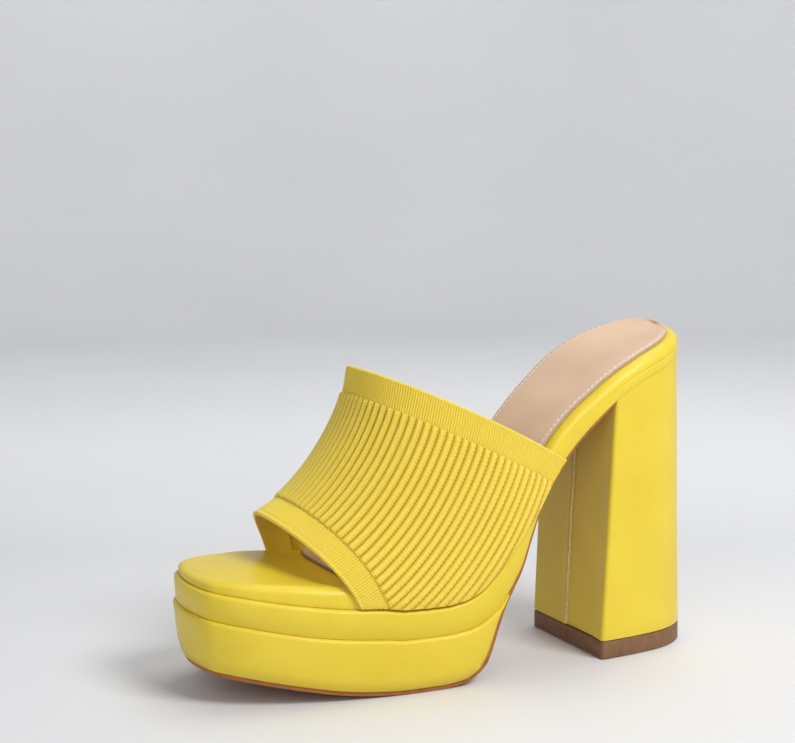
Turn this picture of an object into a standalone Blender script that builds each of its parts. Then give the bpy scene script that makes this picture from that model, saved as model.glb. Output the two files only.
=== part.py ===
"""Platform mule for the left foot: a rib-knit upper on a wrapped double platform with a block heel.

The origin is the middle of the heel tip's bottom face, on the floor. +X runs to the toe, +Y to the
outer side of the foot and +Z up. All sizes are in metres.
"""

import math

import bmesh
import bpy
import numpy as np

# Overall sizes
LENGTH = 0.219            # back of the heel tip to the front of the lower tier
BALL_WIDTH = 0.0790       # footbed, across the ball
SEAT_WIDTH = 0.062        # footbed, across the heel seat
SEAT_HEIGHT = 0.1240      # floor to the heel seam at the back
TOE_SPRING = 0.0124       # lift of the platform's underside at the toe

# Thicknesses of the stacked layers
BOARD = 0.0022            # outsole, under the ball
LOWER_TIER = 0.0200
UPPER_TIER = 0.0110
FOOTBED = 0.0088
SOCK = 0.0010
GAP = 0.0003              # clearance between pieces that touch

# Reach each way along the shoe over which the slope of a line is read
SLOPE_STEP = 0.0014

# Edges of the layers, measured out from the footbed's own side
BOARD_TUCK = 0.0012       # board under the tiers stands this far inside, and at the waist it is flush
BOARD_BEVEL = 0.0006      # along the board's lower edge
LOWER_FOOT_OUT = -0.0002  # lower tier, at its bottom edge
LOWER_RIM_OUT = 0.0024    # lower tier, at its top edge
UPPER_RIM_OUT = 0.0018
UPPER_FOOT_TUCK = 0.0004  # upper tier's bottom edge stands this far inside its rim
FOOTBED_BEVEL = 0.0010    # along the footbed's lower edge
RIM_RADIUS = 0.0018       # rolled top edges of the two tiers
BEAD_RADIUS = 0.0042      # padded rim of the footbed
SEAT_DISH = 0.0010        # hollow of the seat between its rims
SEAT_CANT = 0.0040        # the seat's inner side stands this much higher than its outer side
SOCK_INSET = 0.0003       # inner end of the padded rim to the sock's edge
SOCK_LENGTH = 0.1520      # back of the footbed to the sock's front edge, at its sides
SOCK_ROUND = 0.0080       # how far the sock's front edge bows forward
SOCK_DRAW = 0.0320        # length of sock over which its stations take up that bow

# Heel block
HEEL_LENGTH = 0.0500      # tip, from back to breast
HEEL_TIP_WIDTH = 0.0592
BREAST_LEAN = 0.0058      # the breast's top stands this far behind its foot
HEEL_INSET = 0.0003       # footbed's side to the heel's side at the seam
BREAST_CORNER = 0.0016    # rounding of the two corners beside the breast
TOP_PIECE = 0.0073

# Knit upper
CUFF_WALL = 0.0017
RIB_STEP = 0.0009         # the ribbed field stands this far above the two cuffs
CUFF_WIDTH = 0.0108
COLLAR_RISE = 0.0886      # collar's peak above the footbed's underside there
RIDGE_SHIFT = 0.0080      # the instep's ridge lies this far to the inner side
UPPER_CLEAR = 0.0004      # upper's lining to the footbed's side
EDGE_ROUND = 0.0005       # rounding of the collar's and the toe opening's edges
FEATHER_STEP = 0.35       # share of RIB_STEP that is left at the feather line

# Side view. along: share of LENGTH from the back. climb: share of the height between the board's
# flat and the heel seat. spring: share of TOE_SPRING. lower, upper, foot and board: shares of the
# layers' thicknesses. dish: share of SEAT_DISH, below zero where the footbed is crowned. cant: share of
# SEAT_CANT. flare: share of their outward sizes that the tiers' edges have reached.
SIDE_COLUMNS = ("along", "climb", "spring", "lower", "upper", "foot", "board", "dish", "cant", "flare")
SIDE = (
    (0.000, 1.000, 0.00, 0.00, 0.00, 1.14, 0.60, 1.0, 1.0, 0.0),
    (0.046, 0.975, 0.00, 0.00, 0.00, 1.03, 0.60, 1.0, 1.0, 0.0),
    (0.114, 0.936, 0.00, 0.00, 0.00, 0.99, 0.60, 1.0, 1.0, 0.0),
    (0.160, 0.901, 0.00, 0.00, 0.00, 1.00, 0.60, 1.0, 0.9, 0.0),
    (0.202, 0.858, 0.00, 0.00, 0.00, 1.05, 0.60, 0.9, 0.7, 0.0),
    (0.253, 0.789, 0.00, 0.00, 0.00, 1.16, 0.60, 0.8, 0.5, 0.0),
    (0.288, 0.735, 0.00, 0.00, 0.00, 1.30, 0.60, 0.6, 0.3, 0.0),
    (0.321, 0.673, 0.00, 0.00, 0.00, 1.45, 0.62, 0.4, 0.1, 0.0),
    (0.350, 0.606, 0.00, 0.00, 0.00, 1.62, 0.65, 0.3, 0.0, 0.1),
    (0.374, 0.535, 0.00, 0.00, 0.09, 1.82, 0.75, 0.2, 0.0, 0.2),
    (0.393, 0.459, 0.00, 0.00, 0.42, 1.89, 0.84, 0.1, 0.0, 0.3),
    (0.415, 0.362, 0.00, 0.00, 0.945, 1.86, 0.94, 0.0, 0.0, 0.4),
    (0.431, 0.309, 0.00, 0.03, 1.12, 1.78, 1.00, 0.0, 0.0, 0.5),
    (0.448, 0.256, 0.00, 0.08, 1.23, 1.65, 1.03, 0.0, 0.0, 0.6),
    (0.463, 0.196, 0.00, 0.23, 1.29, 1.52, 1.03, 0.0, 0.0, 0.7),
    (0.473, 0.146, 0.00, 0.455, 1.255, 1.48, 1.00, 0.0, 0.0, 0.8),
    (0.485, 0.088, 0.00, 0.715, 1.20, 1.41, 0.96, 0.0, 0.0, 0.9),
    (0.496, 0.052, 0.00, 0.865, 1.145, 1.35, 0.94, 0.0, 0.0, 1.0),
    (0.512, 0.024, 0.00, 0.955, 1.10, 1.26, 0.94, 0.0, 0.0, 1.0),
    (0.532, 0.008, 0.00, 1.00, 1.045, 1.17, 0.97, 0.0, 0.0, 1.0),
    (0.576, 0.000, 0.00, 1.01, 1.00, 1.01, 1.00, -0.2, 0.0, 1.0),
    (0.640, 0.000, 0.00, 1.01, 1.02, 0.92, 1.00, -0.7, 0.0, 1.0),
    (0.690, 0.000, 0.05, 1.04, 1.05, 0.88, 1.00, -1.2, 0.0, 1.0),
    (0.753, 0.000, 0.18, 1.03, 1.04, 0.88, 1.00, -1.8, 0.0, 1.0),
    (0.819, 0.000, 0.41, 1.00, 1.03, 0.82, 1.00, -2.0, 0.0, 1.0),
    (0.881, 0.000, 0.64, 0.99, 1.00, 0.68, 1.00, -1.6, 0.0, 1.0),
    (0.945, 0.000, 0.87, 0.99, 0.97, 0.50, 1.00, -0.6, 0.0, 1.0),
    (0.985, 0.000, 0.97, 1.01, 0.94, 0.40, 1.00, 0.0, 0.0, 1.0),
    (1.020, 0.000, 1.05, 1.02, 0.92, 0.32, 1.00, 0.0, 0.0, 1.0),
)

# Plan view of the footbed. seat: share of SEAT_WIDTH in the width that outer and inner are shares of,
# the rest being BALL_WIDTH. The first and last rows are the points at the back and at the toe.
PLAN_COLUMNS = ("along", "seat", "outer", "inner")
PLAN = (
    (0.011, 1.00, 0.000, 0.000),
    (0.019, 1.00, 0.194, 0.194),
    (0.044, 1.00, 0.327, 0.324),
    (0.082, 1.00, 0.419, 0.416),
    (0.132, 1.00, 0.468, 0.465),
    (0.183, 1.00, 0.492, 0.490),
    (0.228, 1.00, 0.503, 0.481),
    (0.274, 0.85, 0.496, 0.428),
    (0.320, 0.70, 0.495, 0.382),
    (0.365, 0.50, 0.494, 0.355),
    (0.411, 0.30, 0.495, 0.360),
    (0.457, 0.15, 0.492, 0.390),
    (0.502, 0.00, 0.478, 0.424),
    (0.571, 0.00, 0.476, 0.481),
    (0.639, 0.00, 0.472, 0.514),
    (0.708, 0.00, 0.459, 0.522),
    (0.776, 0.00, 0.437, 0.511),
    (0.845, 0.00, 0.399, 0.478),
    (0.913, 0.00, 0.329, 0.410),
    (0.950, 0.00, 0.261, 0.346),
    (0.973, 0.00, 0.175, 0.258),
    (0.985, 0.00, -0.038, 0.038),
)

# Ridge of the upper and the two ends of each section through it. place: share of the way from collar
# to toe opening. ridge, outer and inner: shares of LENGTH. rise: share of COLLAR_RISE above the
# footbed's underside. bow: share of CUFF_WIDTH that the section's middle stands behind a straight line.
ARCH_COLUMNS = ("place", "ridge", "rise", "outer", "inner", "bow")
ARCH = (
    (0.00, 0.644, 0.998, 0.318, 0.326, 0.20),
    (0.15, 0.652, 0.880, 0.390, 0.397, 0.16),
    (0.32, 0.675, 0.729, 0.470, 0.478, 0.12),
    (0.50, 0.709, 0.586, 0.544, 0.555, 0.12),
    (0.68, 0.745, 0.468, 0.612, 0.630, 0.14),
    (0.84, 0.781, 0.374, 0.672, 0.698, 0.17),
    (1.00, 0.826, 0.290, 0.728, 0.762, 0.20),
)
SECTION_POWER = 2.5       # 2 is an ellipse, more is squarer

# Colours of the photographed shoe, roughness
YELLOW_LEATHER = ((0.83, 0.62, 0.035, 1.0), 0.38)
YELLOW_KNIT = ((0.86, 0.60, 0.05, 1.0), 0.85)
NUDE_LINING = ((0.68, 0.47, 0.34, 1.0), 0.55)
TAN_BOARD = ((0.42, 0.15, 0.03, 1.0), 0.50)
BROWN_RUBBER = ((0.28, 0.13, 0.07, 1.0), 0.60)

# Mesh fineness
STATIONS = 62             # along the footbed, before the ends are made finer
END_STATIONS = 8
STATION_GAP = 0.0006      # least distance between a layer's own end and its next station
PLAN_POINTS = 12          # per row of the plan table
RIM_STEPS = 3             # facets round a tier's rolled edge
BEAD_STEPS = 4
TIER_START = 0.07         # a tier starts where its share of thickness passes this
COLUMN_CROWDING = 0.75    # 0 spaces the upper's columns evenly, 1 crowds them most at the feather line
FOOTBED_STRIPS = 6
UPPER_COLUMNS = 40
FIELD_ROWS = 9


def column(table, columns, name):
    """One named column of a table, as an array."""
    return np.array([row[columns.index(name)] for row in table])


def smooth(xs, ys):
    """A cubic through the points that never overshoots between two of them."""
    xs = np.asarray(xs, float)
    ys = np.asarray(ys, float)
    steps = np.diff(xs)
    rates = np.diff(ys) / steps
    slopes = np.zeros(len(xs))
    slopes[0] = rates[0]
    slopes[-1] = rates[-1]
    for i in range(1, len(xs) - 1):
        if rates[i - 1] * rates[i] > 0:
            slopes[i] = 2 * rates[i - 1] * rates[i] / (rates[i - 1] + rates[i])

    def value(x):
        x = np.clip(np.asarray(x, float), xs[0], xs[-1])
        i = np.clip(np.searchsorted(xs, x) - 1, 0, len(xs) - 2)
        t = (x - xs[i]) / steps[i]
        return ((1 + 2 * t) * (1 - t) ** 2 * ys[i] + t * t * (3 - 2 * t) * ys[i + 1]
                + steps[i] * (t * (1 - t) ** 2 * slopes[i] - t * t * (1 - t) * slopes[i + 1]))

    return value


BACK = -HEEL_LENGTH / 2
BREAST_TOP = BACK + HEEL_LENGTH - BREAST_LEAN


def at(along):
    """The X of a share of the length."""
    return BACK + np.asarray(along) * LENGTH


def along_curve(table, columns, name):
    """A column as a smooth function of X."""
    return smooth(at(column(table, columns, "along")), column(table, columns, name))


climb = along_curve(SIDE, SIDE_COLUMNS, "climb")
spring = along_curve(SIDE, SIDE_COLUMNS, "spring")
lower_share = along_curve(SIDE, SIDE_COLUMNS, "lower")
upper_share = along_curve(SIDE, SIDE_COLUMNS, "upper")
foot_share = along_curve(SIDE, SIDE_COLUMNS, "foot")
board_share = along_curve(SIDE, SIDE_COLUMNS, "board")
dish_share = along_curve(SIDE, SIDE_COLUMNS, "dish")
cant_share = along_curve(SIDE, SIDE_COLUMNS, "cant")
flare = along_curve(SIDE, SIDE_COLUMNS, "flare")


def board_top(x):
    return BOARD + climb(x) * (SEAT_HEIGHT - BOARD) + spring(x) * TOE_SPRING


def tier_line(x):
    """Top of the lower tier."""
    return board_top(x) + lower_share(x) * LOWER_TIER


def foot_line(x):
    """Underside of the footbed, which is the heel seam, the top of the board or of the upper tier."""
    return tier_line(x) + upper_share(x) * UPPER_TIER


def foot_top(x):
    return foot_line(x) + foot_share(x) * FOOTBED


def upright(line, x, distance):
    """How far up a line moves when it is moved square to itself by a distance."""
    slope = (line(x + SLOPE_STEP) - line(x - SLOPE_STEP)) / (2 * SLOPE_STEP)
    return distance * np.sqrt(1 + slope * slope)


def above(line, distance):
    return lambda x: line(x) + upright(line, x, distance)


def board_bottom(x):
    """The board's underside, parallel to its top. It is exactly flat on the floor under the ball."""
    return board_top(x) - upright(board_top, x, BOARD * board_share(x))


def closed_spline(points, per_span):
    """A smooth closed curve through plan points."""
    points = np.asarray(points, float)
    count = len(points)
    curve = []
    for i in range(count):
        p0, p1, p2, p3 = (points[(i + k - 1) % count] for k in range(4))
        for t in np.arange(per_span) / per_span:
            curve.append(0.5 * (2 * p1 + (p2 - p0) * t + (2 * p0 - 5 * p1 + 4 * p2 - p3) * t ** 2
                                + (3 * p1 - p0 - 3 * p2 + p3) * t ** 3))
    return np.array(curve)


def make_plan():
    """The footbed's outline: X, Y and outward direction for the outer and the inner side."""
    x = at(column(PLAN, PLAN_COLUMNS, "along"))
    seat = column(PLAN, PLAN_COLUMNS, "seat")
    width = seat * SEAT_WIDTH + (1 - seat) * BALL_WIDTH
    outer = column(PLAN, PLAN_COLUMNS, "outer") * width
    inner = -column(PLAN, PLAN_COLUMNS, "inner") * width
    knots = [(x[i], outer[i]) for i in range(len(x))] + [(x[i], inner[i]) for i in range(len(x) - 2, 0, -1)]
    loop = closed_spline(knots, PLAN_POINTS)
    ahead = np.roll(loop, -1, axis=0) - np.roll(loop, 1, axis=0)
    out = np.column_stack([-ahead[:, 1], ahead[:, 0]])
    out /= np.linalg.norm(out, axis=1)[:, None]
    toe = (len(x) - 1) * PLAN_POINTS
    sides = {1: np.arange(0, toe + 1), -1: (-np.arange(0, len(loop) - toe + 1)) % len(loop)}
    return {side: (loop[index], out[index]) for side, index in sides.items()}


PLAN_SIDES = make_plan()


def edge_point(x, side, outset=0.0):
    """Plan point of one side at a given X, moved square to the edge by the outset."""
    loop, out = PLAN_SIDES[side]
    y = np.interp(x, loop[:, 0], loop[:, 1])
    direction = np.array([np.interp(x, loop[:, 0], out[:, k]) for k in range(2)])
    direction /= np.linalg.norm(direction)
    return np.array([x, y]) + outset * direction


def half_width(x, side):
    """Distance of one side from the XZ plane at a given X."""
    loop, _ = PLAN_SIDES[side]
    return np.interp(x, loop[:, 0], side * loop[:, 1])


def cant(x, y):
    """How much higher than its outer edge the seat stands at a plan point."""
    outer = half_width(x, 1)
    return SEAT_CANT * cant_share(x) * (outer - y) / max(outer + half_width(x, -1), SEAT_WIDTH / 2)


FOOT_BACK = PLAN_SIDES[1][0][0, 0]
FOOT_TOE = PLAN_SIDES[1][0][-1, 0]


def make_stations():
    """X values from back to toe, even along the side profile and the plan, and closer at both ends."""
    fine = np.linspace(FOOT_BACK, FOOT_TOE, 1200)
    path = np.diff(fine) ** 2 + np.diff(board_top(fine)) ** 2 + np.diff(half_width(fine, 1)) ** 2
    length = np.concatenate([[0], np.cumsum(np.sqrt(path))])
    even = np.interp(np.linspace(0, length[-1], STATIONS), length, fine)
    turn = [1 - math.cos(math.pi / 2 * k / END_STATIONS) for k in range(END_STATIONS)]
    rear = [FOOT_BACK + (even[2] - FOOT_BACK) * t for t in turn]
    front = [FOOT_TOE - (FOOT_TOE - even[-3]) * t for t in turn]
    return np.array(rear + list(even[2:-2]) + front[::-1])


def stations_from(start):
    """The common stations ahead of a start, so that neighbouring layers have the same facets."""
    common = make_stations()
    return np.concatenate([[start], common[common > start + STATION_GAP]])


def material(name, finish):
    colour, roughness = finish
    mat = bpy.data.materials.new(name)
    mat.use_nodes = True
    shader = mat.node_tree.nodes["Principled BSDF"]
    shader.inputs["Base Color"].default_value = colour
    shader.inputs["Roughness"].default_value = roughness
    shader.inputs["Metallic"].default_value = 0.0
    mat.diffuse_color = colour
    return mat


def finish_object(name, bm, mat, sharp_degrees=40):
    """Turn a closed bmesh into a named, smooth-shaded object."""
    bmesh.ops.recalc_face_normals(bm, faces=bm.faces)
    mesh = bpy.data.meshes.new(name)
    bm.to_mesh(mesh)
    bm.free()
    mesh.shade_smooth()
    mesh.set_sharp_from_angle(angle=math.radians(sharp_degrees))
    mesh.materials.append(mat)
    obj = bpy.data.objects.new(name, mesh)
    bpy.context.collection.objects.link(obj)
    return obj


def layer(name, mat, xs, profile, low, high, across=2, dish=(0.0, 0.0), tips=(False, True), bow=None,
          tuck=0.0):
    """A layer of the sole, from one loop of points around the shoe's section at each station.

    profile lists the wall from bottom to top as (outset, base, offset): base 0 measures the offset up
    from the lower face, base 1 down from the upper one. Where the layer is thin the offsets shrink to
    shares of its thickness. A tip closes an end on the plan's own point. tuck draws the whole wall in
    where the tiers flare out.
    """
    bm = bmesh.new()
    shares = (0.25, 0.7)
    deepest = [max([row[2] for row in profile if row[1] == base], default=0.0) for base in (0, 1)]

    def wall(x, side):
        points = []
        for outset, base, offset in profile:
            spread = float(flare(x))
            px, py = edge_point(x, side, (outset * spread if outset > 0 else outset) - tuck * spread)
            bottom = float(low(px))
            top = float(high(px))
            room = shares[base] * (top - bottom)
            if deepest[base] > room:
                offset *= room / deepest[base]
            points.append((px, py, (top - offset if base else bottom + offset) + float(cant(px, py))))
        return points

    def face_row(a, b, ends, line, sink):
        row = [ends[0]]
        for k in range(1, across):
            share = k / across
            px, py = a[0] + (b[0] - a[0]) * share, a[1] + (b[1] - a[1]) * share
            px += float(bow(px, share)) if bow else 0.0
            hollow = sink * float(dish_share(px)) * hollow_share(share)
            row.append(bm.verts.new((px, py, float(line(px)) + float(cant(px, py)) - hollow)))
        return row + [ends[1]]

    def bridge(a, b):
        for i in range(max(len(a), len(b)) - 1):
            corners = [a[min(i, len(a) - 1)], a[min(i + 1, len(a) - 1)],
                       b[min(i + 1, len(b) - 1)], b[min(i, len(b) - 1)]]
            unique = list(dict.fromkeys(corners))
            if len(unique) > 2:
                bm.faces.new(unique)

    sections = []
    for i, x in enumerate(xs):
        outer_points = wall(x, 1)
        outer = [bm.verts.new(p) for p in outer_points]
        if (i == 0 and tips[0]) or (i == len(xs) - 1 and tips[1]):
            sections.append((outer, outer, [outer[-1]], [outer[0]]))
            continue
        inner_points = wall(x, -1)
        inner = [bm.verts.new(p) for p in inner_points]
        top = face_row(outer_points[-1], inner_points[-1], (outer[-1], inner[-1]), high, dish[1])
        bottom = face_row(outer_points[0], inner_points[0], (outer[0], inner[0]), low, dish[0])
        sections.append((outer, inner, top, bottom))
    for first, second in zip(sections[:-1], sections[1:]):
        for part in range(len(first)):
            bridge(first[part], second[part])
    for closed, (outer, inner, top, bottom) in zip(tips, (sections[0], sections[-1])):
        if closed:
            continue
        if len(profile) > 2:
            bm.faces.new(outer + top[1:-1] + inner[::-1] + bottom[1:-1][::-1])
        else:
            bridge(top, bottom)
    return finish_object(name, bm, mat)


def hollow_share(share):
    """Depth of a dish at a share of the way across it, in the footbed's own facets."""
    knots = np.linspace(0, 1, FOOTBED_STRIPS + 1)
    rise = 1 - np.abs(2 * knots - 1)
    return float(np.interp(share, knots, rise * rise * (3 - 2 * rise)))


def rounded(outset, radius, steps):
    """The upper edge of a wall, rolled over by a quarter turn."""
    turns = [math.pi / 2 * k / steps for k in range(steps + 1)]
    return [(outset - radius * (1 - math.cos(a)), 1, radius * (1 - math.sin(a))) for a in turns]


def tier_start(share_curve):
    """The first X at which a tier is thick enough to be made."""
    fine = np.linspace(BACK, BACK + LENGTH, 2000)
    return float(fine[np.argmax(share_curve(fine) > TIER_START)])


def make_outsole(mat):
    xs = stations_from(BREAST_TOP + GAP)
    profile = [(-BOARD_BEVEL, 0, 0.0), (0.0, 0, BOARD_BEVEL), (0.0, 1, 0.0)]
    return layer("outsole", mat, xs, profile, board_bottom, above(board_top, -GAP), tuck=BOARD_TUCK)


def make_lower_tier(mat):
    xs = stations_from(tier_start(lower_share))
    profile = [(LOWER_FOOT_OUT, 0, 0.0)] + rounded(LOWER_RIM_OUT, RIM_RADIUS, RIM_STEPS)
    return layer("platform_lower", mat, xs, profile, board_top, above(tier_line, -GAP))


def make_upper_tier(mat):
    xs = stations_from(tier_start(upper_share))
    profile = [(UPPER_RIM_OUT - UPPER_FOOT_TUCK, 0, 0.0)] + rounded(UPPER_RIM_OUT, RIM_RADIUS, RIM_STEPS)
    return layer("platform_upper", mat, xs, profile, tier_line, above(foot_line, -GAP))


def make_footbed(mat):
    xs = make_stations()
    profile = [(-FOOTBED_BEVEL, 0, 0.0), (0.0, 0, FOOTBED_BEVEL)] + rounded(0.0, BEAD_RADIUS, BEAD_STEPS)
    return layer("footbed", mat, xs, profile, foot_line, foot_top,
                 across=FOOTBED_STRIPS, dish=(0.0, SEAT_DISH), tips=(True, True))


def heel_ring(xs, share, z):
    """Plan of the heel block as a loop: the outer side from breast to back, then the inner side.

    share 0 is the seam at the top and share 1 the tip's plan, which is longer and narrower.
    """
    breast = BREAST_TOP + BREAST_LEAN * share
    top_back = FOOT_BACK + HEEL_INSET
    back = top_back + (BACK - top_back) * share
    narrow = 1 + (HEEL_TIP_WIDTH / (2 * half_width(xs[0], 1) - 2 * HEEL_INSET) - 1) * share
    middle = 1 - math.sqrt(0.5)
    loop = []
    for side in (1, -1):
        points = []
        for x in xs:
            px, py = edge_point(x, side, -HEEL_INSET)
            py *= narrow
            px = back + (px - top_back) * (breast - back) / (xs[0] - top_back)
            points.append((px, py))
        corner = np.array(points[0])
        rounding = []
        for behind, inward in ((0, 1), (middle, middle), (1, 0)):
            rounding.append(corner - (BREAST_CORNER * behind, side * BREAST_CORNER * inward))
        points[0:1] = rounding
        loop.append([(px, py, float(z(px, py))) for px, py in points])
    return loop[0] + loop[1][-2::-1]


def heel_solid(name, mat, rings):
    """A block through heel rings from bottom to top, with its two faces in strips across."""
    bm = bmesh.new()
    made = [[bm.verts.new(p) for p in ring] for ring in rings]
    count = len(made[0])
    for low, high in zip(made[:-1], made[1:]):
        for i in range(count):
            j = (i + 1) % count
            bm.faces.new((low[i], low[j], high[j], high[i]))
    for ring in (made[0], made[-1]):
        last = count - 1
        for i in range((count - 1) // 2):
            corners = list(dict.fromkeys((ring[i], ring[i + 1], ring[last - i - 1], ring[last - i])))
            if len(corners) > 2:
                bm.faces.new(corners)
    return finish_object(name, bm, mat)


def heel_stations():
    """X of the heel's seam from breast to back."""
    common = make_stations()
    inside = common[common < BREAST_TOP - 3 * BREAST_CORNER]
    return np.concatenate([[BREAST_TOP], inside[::-1]])


def make_heel(mat):
    xs = heel_stations()
    bottom = heel_ring(xs, 1.0, lambda x, y: TOP_PIECE + GAP)
    seam = above(foot_line, -GAP)
    top = heel_ring(xs, 0.0, lambda x, y: seam(x) + cant(x, y))
    return heel_solid("heel", mat, [bottom, top])


def make_top_piece(mat):
    xs = heel_stations()
    rings = [heel_ring(xs, 1.0, lambda x, y, z=z: z) for z in (0.0, TOP_PIECE)]
    return heel_solid("top_piece", mat, rings)


def sock_front(x, share):
    """How far a point of the sock is drawn forward, so that its front edge bows."""
    front = FOOT_BACK + SOCK_LENGTH
    near = np.clip((x - (front - SOCK_DRAW)) / SOCK_DRAW, 0, 1)
    return SOCK_ROUND * near ** 2 * (1 - (2 * share - 1) ** 2)


def make_sock(mat):
    common = make_stations()
    front = FOOT_BACK + SOCK_LENGTH
    xs = np.concatenate([common[common < front - STATION_GAP], [front]])
    edge = -BEAD_RADIUS - SOCK_INSET
    profile = [(edge, 0, 0.0), (edge, 1, 0.0)]
    return layer("sock", mat, xs, profile, above(foot_top, GAP), above(foot_top, GAP + SOCK),
                 across=FOOTBED_STRIPS, dish=(SEAT_DISH, SEAT_DISH), tips=(True, False), bow=sock_front)


ridge_x = smooth(column(ARCH, ARCH_COLUMNS, "place"), at(column(ARCH, ARCH_COLUMNS, "ridge")))
ridge_rise = smooth(column(ARCH, ARCH_COLUMNS, "place"), column(ARCH, ARCH_COLUMNS, "rise") * COLLAR_RISE)
outer_x = smooth(column(ARCH, ARCH_COLUMNS, "place"), at(column(ARCH, ARCH_COLUMNS, "outer")))
inner_x = smooth(column(ARCH, ARCH_COLUMNS, "place"), at(column(ARCH, ARCH_COLUMNS, "inner")))
bow_back = smooth(column(ARCH, ARCH_COLUMNS, "place"), column(ARCH, ARCH_COLUMNS, "bow") * CUFF_WIDTH)


def footbed_side(x, side, z):
    """Distance of the footbed's side from the XZ plane at a height, with its rounded rim."""
    half = float(half_width(x, side))
    above_bead = z - float(foot_top(x)) - float(cant(x, side * half)) + BEAD_RADIUS
    if above_bead <= 0:
        return half
    above_bead = min(above_bead, BEAD_RADIUS)
    return half - BEAD_RADIUS + math.sqrt(BEAD_RADIUS ** 2 - above_bead ** 2)


def lining_point(turn, place):
    """Inner face of the upper. turn runs from 0 at the outer side over the ridge to 1 at the inner."""
    angle = math.pi * turn
    lift = abs(math.sin(angle)) ** (2 / SECTION_POWER)
    reach = abs(math.cos(angle)) ** (2 / SECTION_POWER)
    side = 1 if turn < 0.5 else -1
    foot_x = float(outer_x(place) if side > 0 else inner_x(place))
    top_x = float(ridge_x(place))
    x = foot_x + (top_x - foot_x) * lift - float(bow_back(place)) * 4 * lift * (1 - lift)
    foot_y = side * float(half_width(foot_x, side))
    foot_z = float(foot_line(foot_x)) + float(upright(foot_line, foot_x, GAP)) + float(cant(foot_x, foot_y))
    top_z = float(foot_line(top_x)) + float(ridge_rise(place))
    z = foot_z + (top_z - foot_z) * lift
    ridge_y = -RIDGE_SHIFT
    edge_y = side * (float(half_width(x, side)) + UPPER_CLEAR)
    y = ridge_y + (edge_y - ridge_y) * reach
    if z < float(foot_top(x)) + float(cant(x, y)):
        y = side * max(side * y, footbed_side(x, side, z) + UPPER_CLEAR)
    return np.array([x, y, z])


def upper_places(turn):
    """Places of the rows between the two edges at one turn: cuff edges, steps and the field between."""
    fine = np.linspace(0, 1, 61)
    path = np.array([lining_point(turn, p) for p in fine])
    run = np.concatenate([[0], np.cumsum(np.linalg.norm(np.diff(path, axis=0), axis=1))])
    total = run[-1]
    step = RIB_STEP / 2
    marks = [0, EDGE_ROUND, CUFF_WIDTH - step, CUFF_WIDTH + step]
    field = np.linspace(marks[-1], total - marks[-1], FIELD_ROWS + 1)[1:-1]
    distances = marks + list(field) + [total - m for m in reversed(marks)]
    return np.interp(distances, run, fine)


def make_upper(mat):
    even = np.linspace(0, 1, UPPER_COLUMNS + 1)
    turns = even - COLUMN_CROWDING * np.sin(2 * math.pi * even) / (2 * math.pi)
    small = 0.004
    inner_rows, outer_rows = [], []
    for turn in turns:
        places = upper_places(turn)
        count = len(places)
        field = range(3, count - 3)
        inner_row, outer_row = [], []
        for k, place in enumerate(places):
            point = lining_point(turn, place)
            t0, t1 = max(0.0, turn - small), min(1.0, turn + small)
            p0, p1 = max(0.0, place - small), min(1.0, place + small)
            around = lining_point(t1, place) - lining_point(t0, place)
            along = lining_point(turn, p1) - lining_point(turn, p0)
            out = np.cross(around, along)
            if turn in (0.0, 1.0):
                out = np.array([0.0, 1.0 if turn == 0.0 else -1.0, 0.0])
            out /= np.linalg.norm(out)
            height = math.sin(math.pi * turn)
            wall = CUFF_WALL + (RIB_STEP * min(1.0, FEATHER_STEP + 2 * height) if k in field else 0.0)
            if k in (0, count - 1):
                wall -= EDGE_ROUND
                point = point + out * EDGE_ROUND / 2
            outer_row.append(point + out * wall)
            inner_row.append(point)
        inner_rows.append(inner_row)
        outer_rows.append(outer_row)
    bm = bmesh.new()
    inner = [[bm.verts.new(p) for p in row] for row in inner_rows]
    outer = [[bm.verts.new(p) for p in row] for row in outer_rows]
    rows = len(inner[0])
    for sheet in (inner, outer):
        for a, b in zip(sheet[:-1], sheet[1:]):
            for k in range(rows - 1):
                bm.faces.new((a[k], a[k + 1], b[k + 1], b[k]))
    for i in range(UPPER_COLUMNS):
        for k in (0, rows - 1):
            bm.faces.new((inner[i][k], inner[i + 1][k], outer[i + 1][k], outer[i][k]))
    for k in range(rows - 1):
        for i in (0, UPPER_COLUMNS):
            bm.faces.new((inner[i][k], inner[i][k + 1], outer[i][k + 1], outer[i][k]))
    return finish_object("upper", bm, mat, sharp_degrees=30)


def main():
    for obj in list(bpy.data.objects):
        bpy.data.objects.remove(obj, do_unlink=True)
    leather = material("yellow_leather", YELLOW_LEATHER)
    make_outsole(material("tan_board", TAN_BOARD))
    make_lower_tier(leather)
    make_upper_tier(leather)
    make_footbed(leather)
    make_sock(material("nude_lining", NUDE_LINING))
    make_upper(material("yellow_knit", YELLOW_KNIT))
    make_heel(leather)
    make_top_piece(material("brown_rubber", BROWN_RUBBER))


main()
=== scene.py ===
"""Looks of the platform mule: wrapped leather layers, a nude sock and an upper of beaded rib knit.

Lengths are in metres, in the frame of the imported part: the origin is the middle of the heel tip's
bottom face, +X runs to the toe, +Y to the outer side of the left foot and +Z up.
"""

import math

import bmesh
import bpy
import numpy as np
from mathutils import Matrix, Vector


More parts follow.
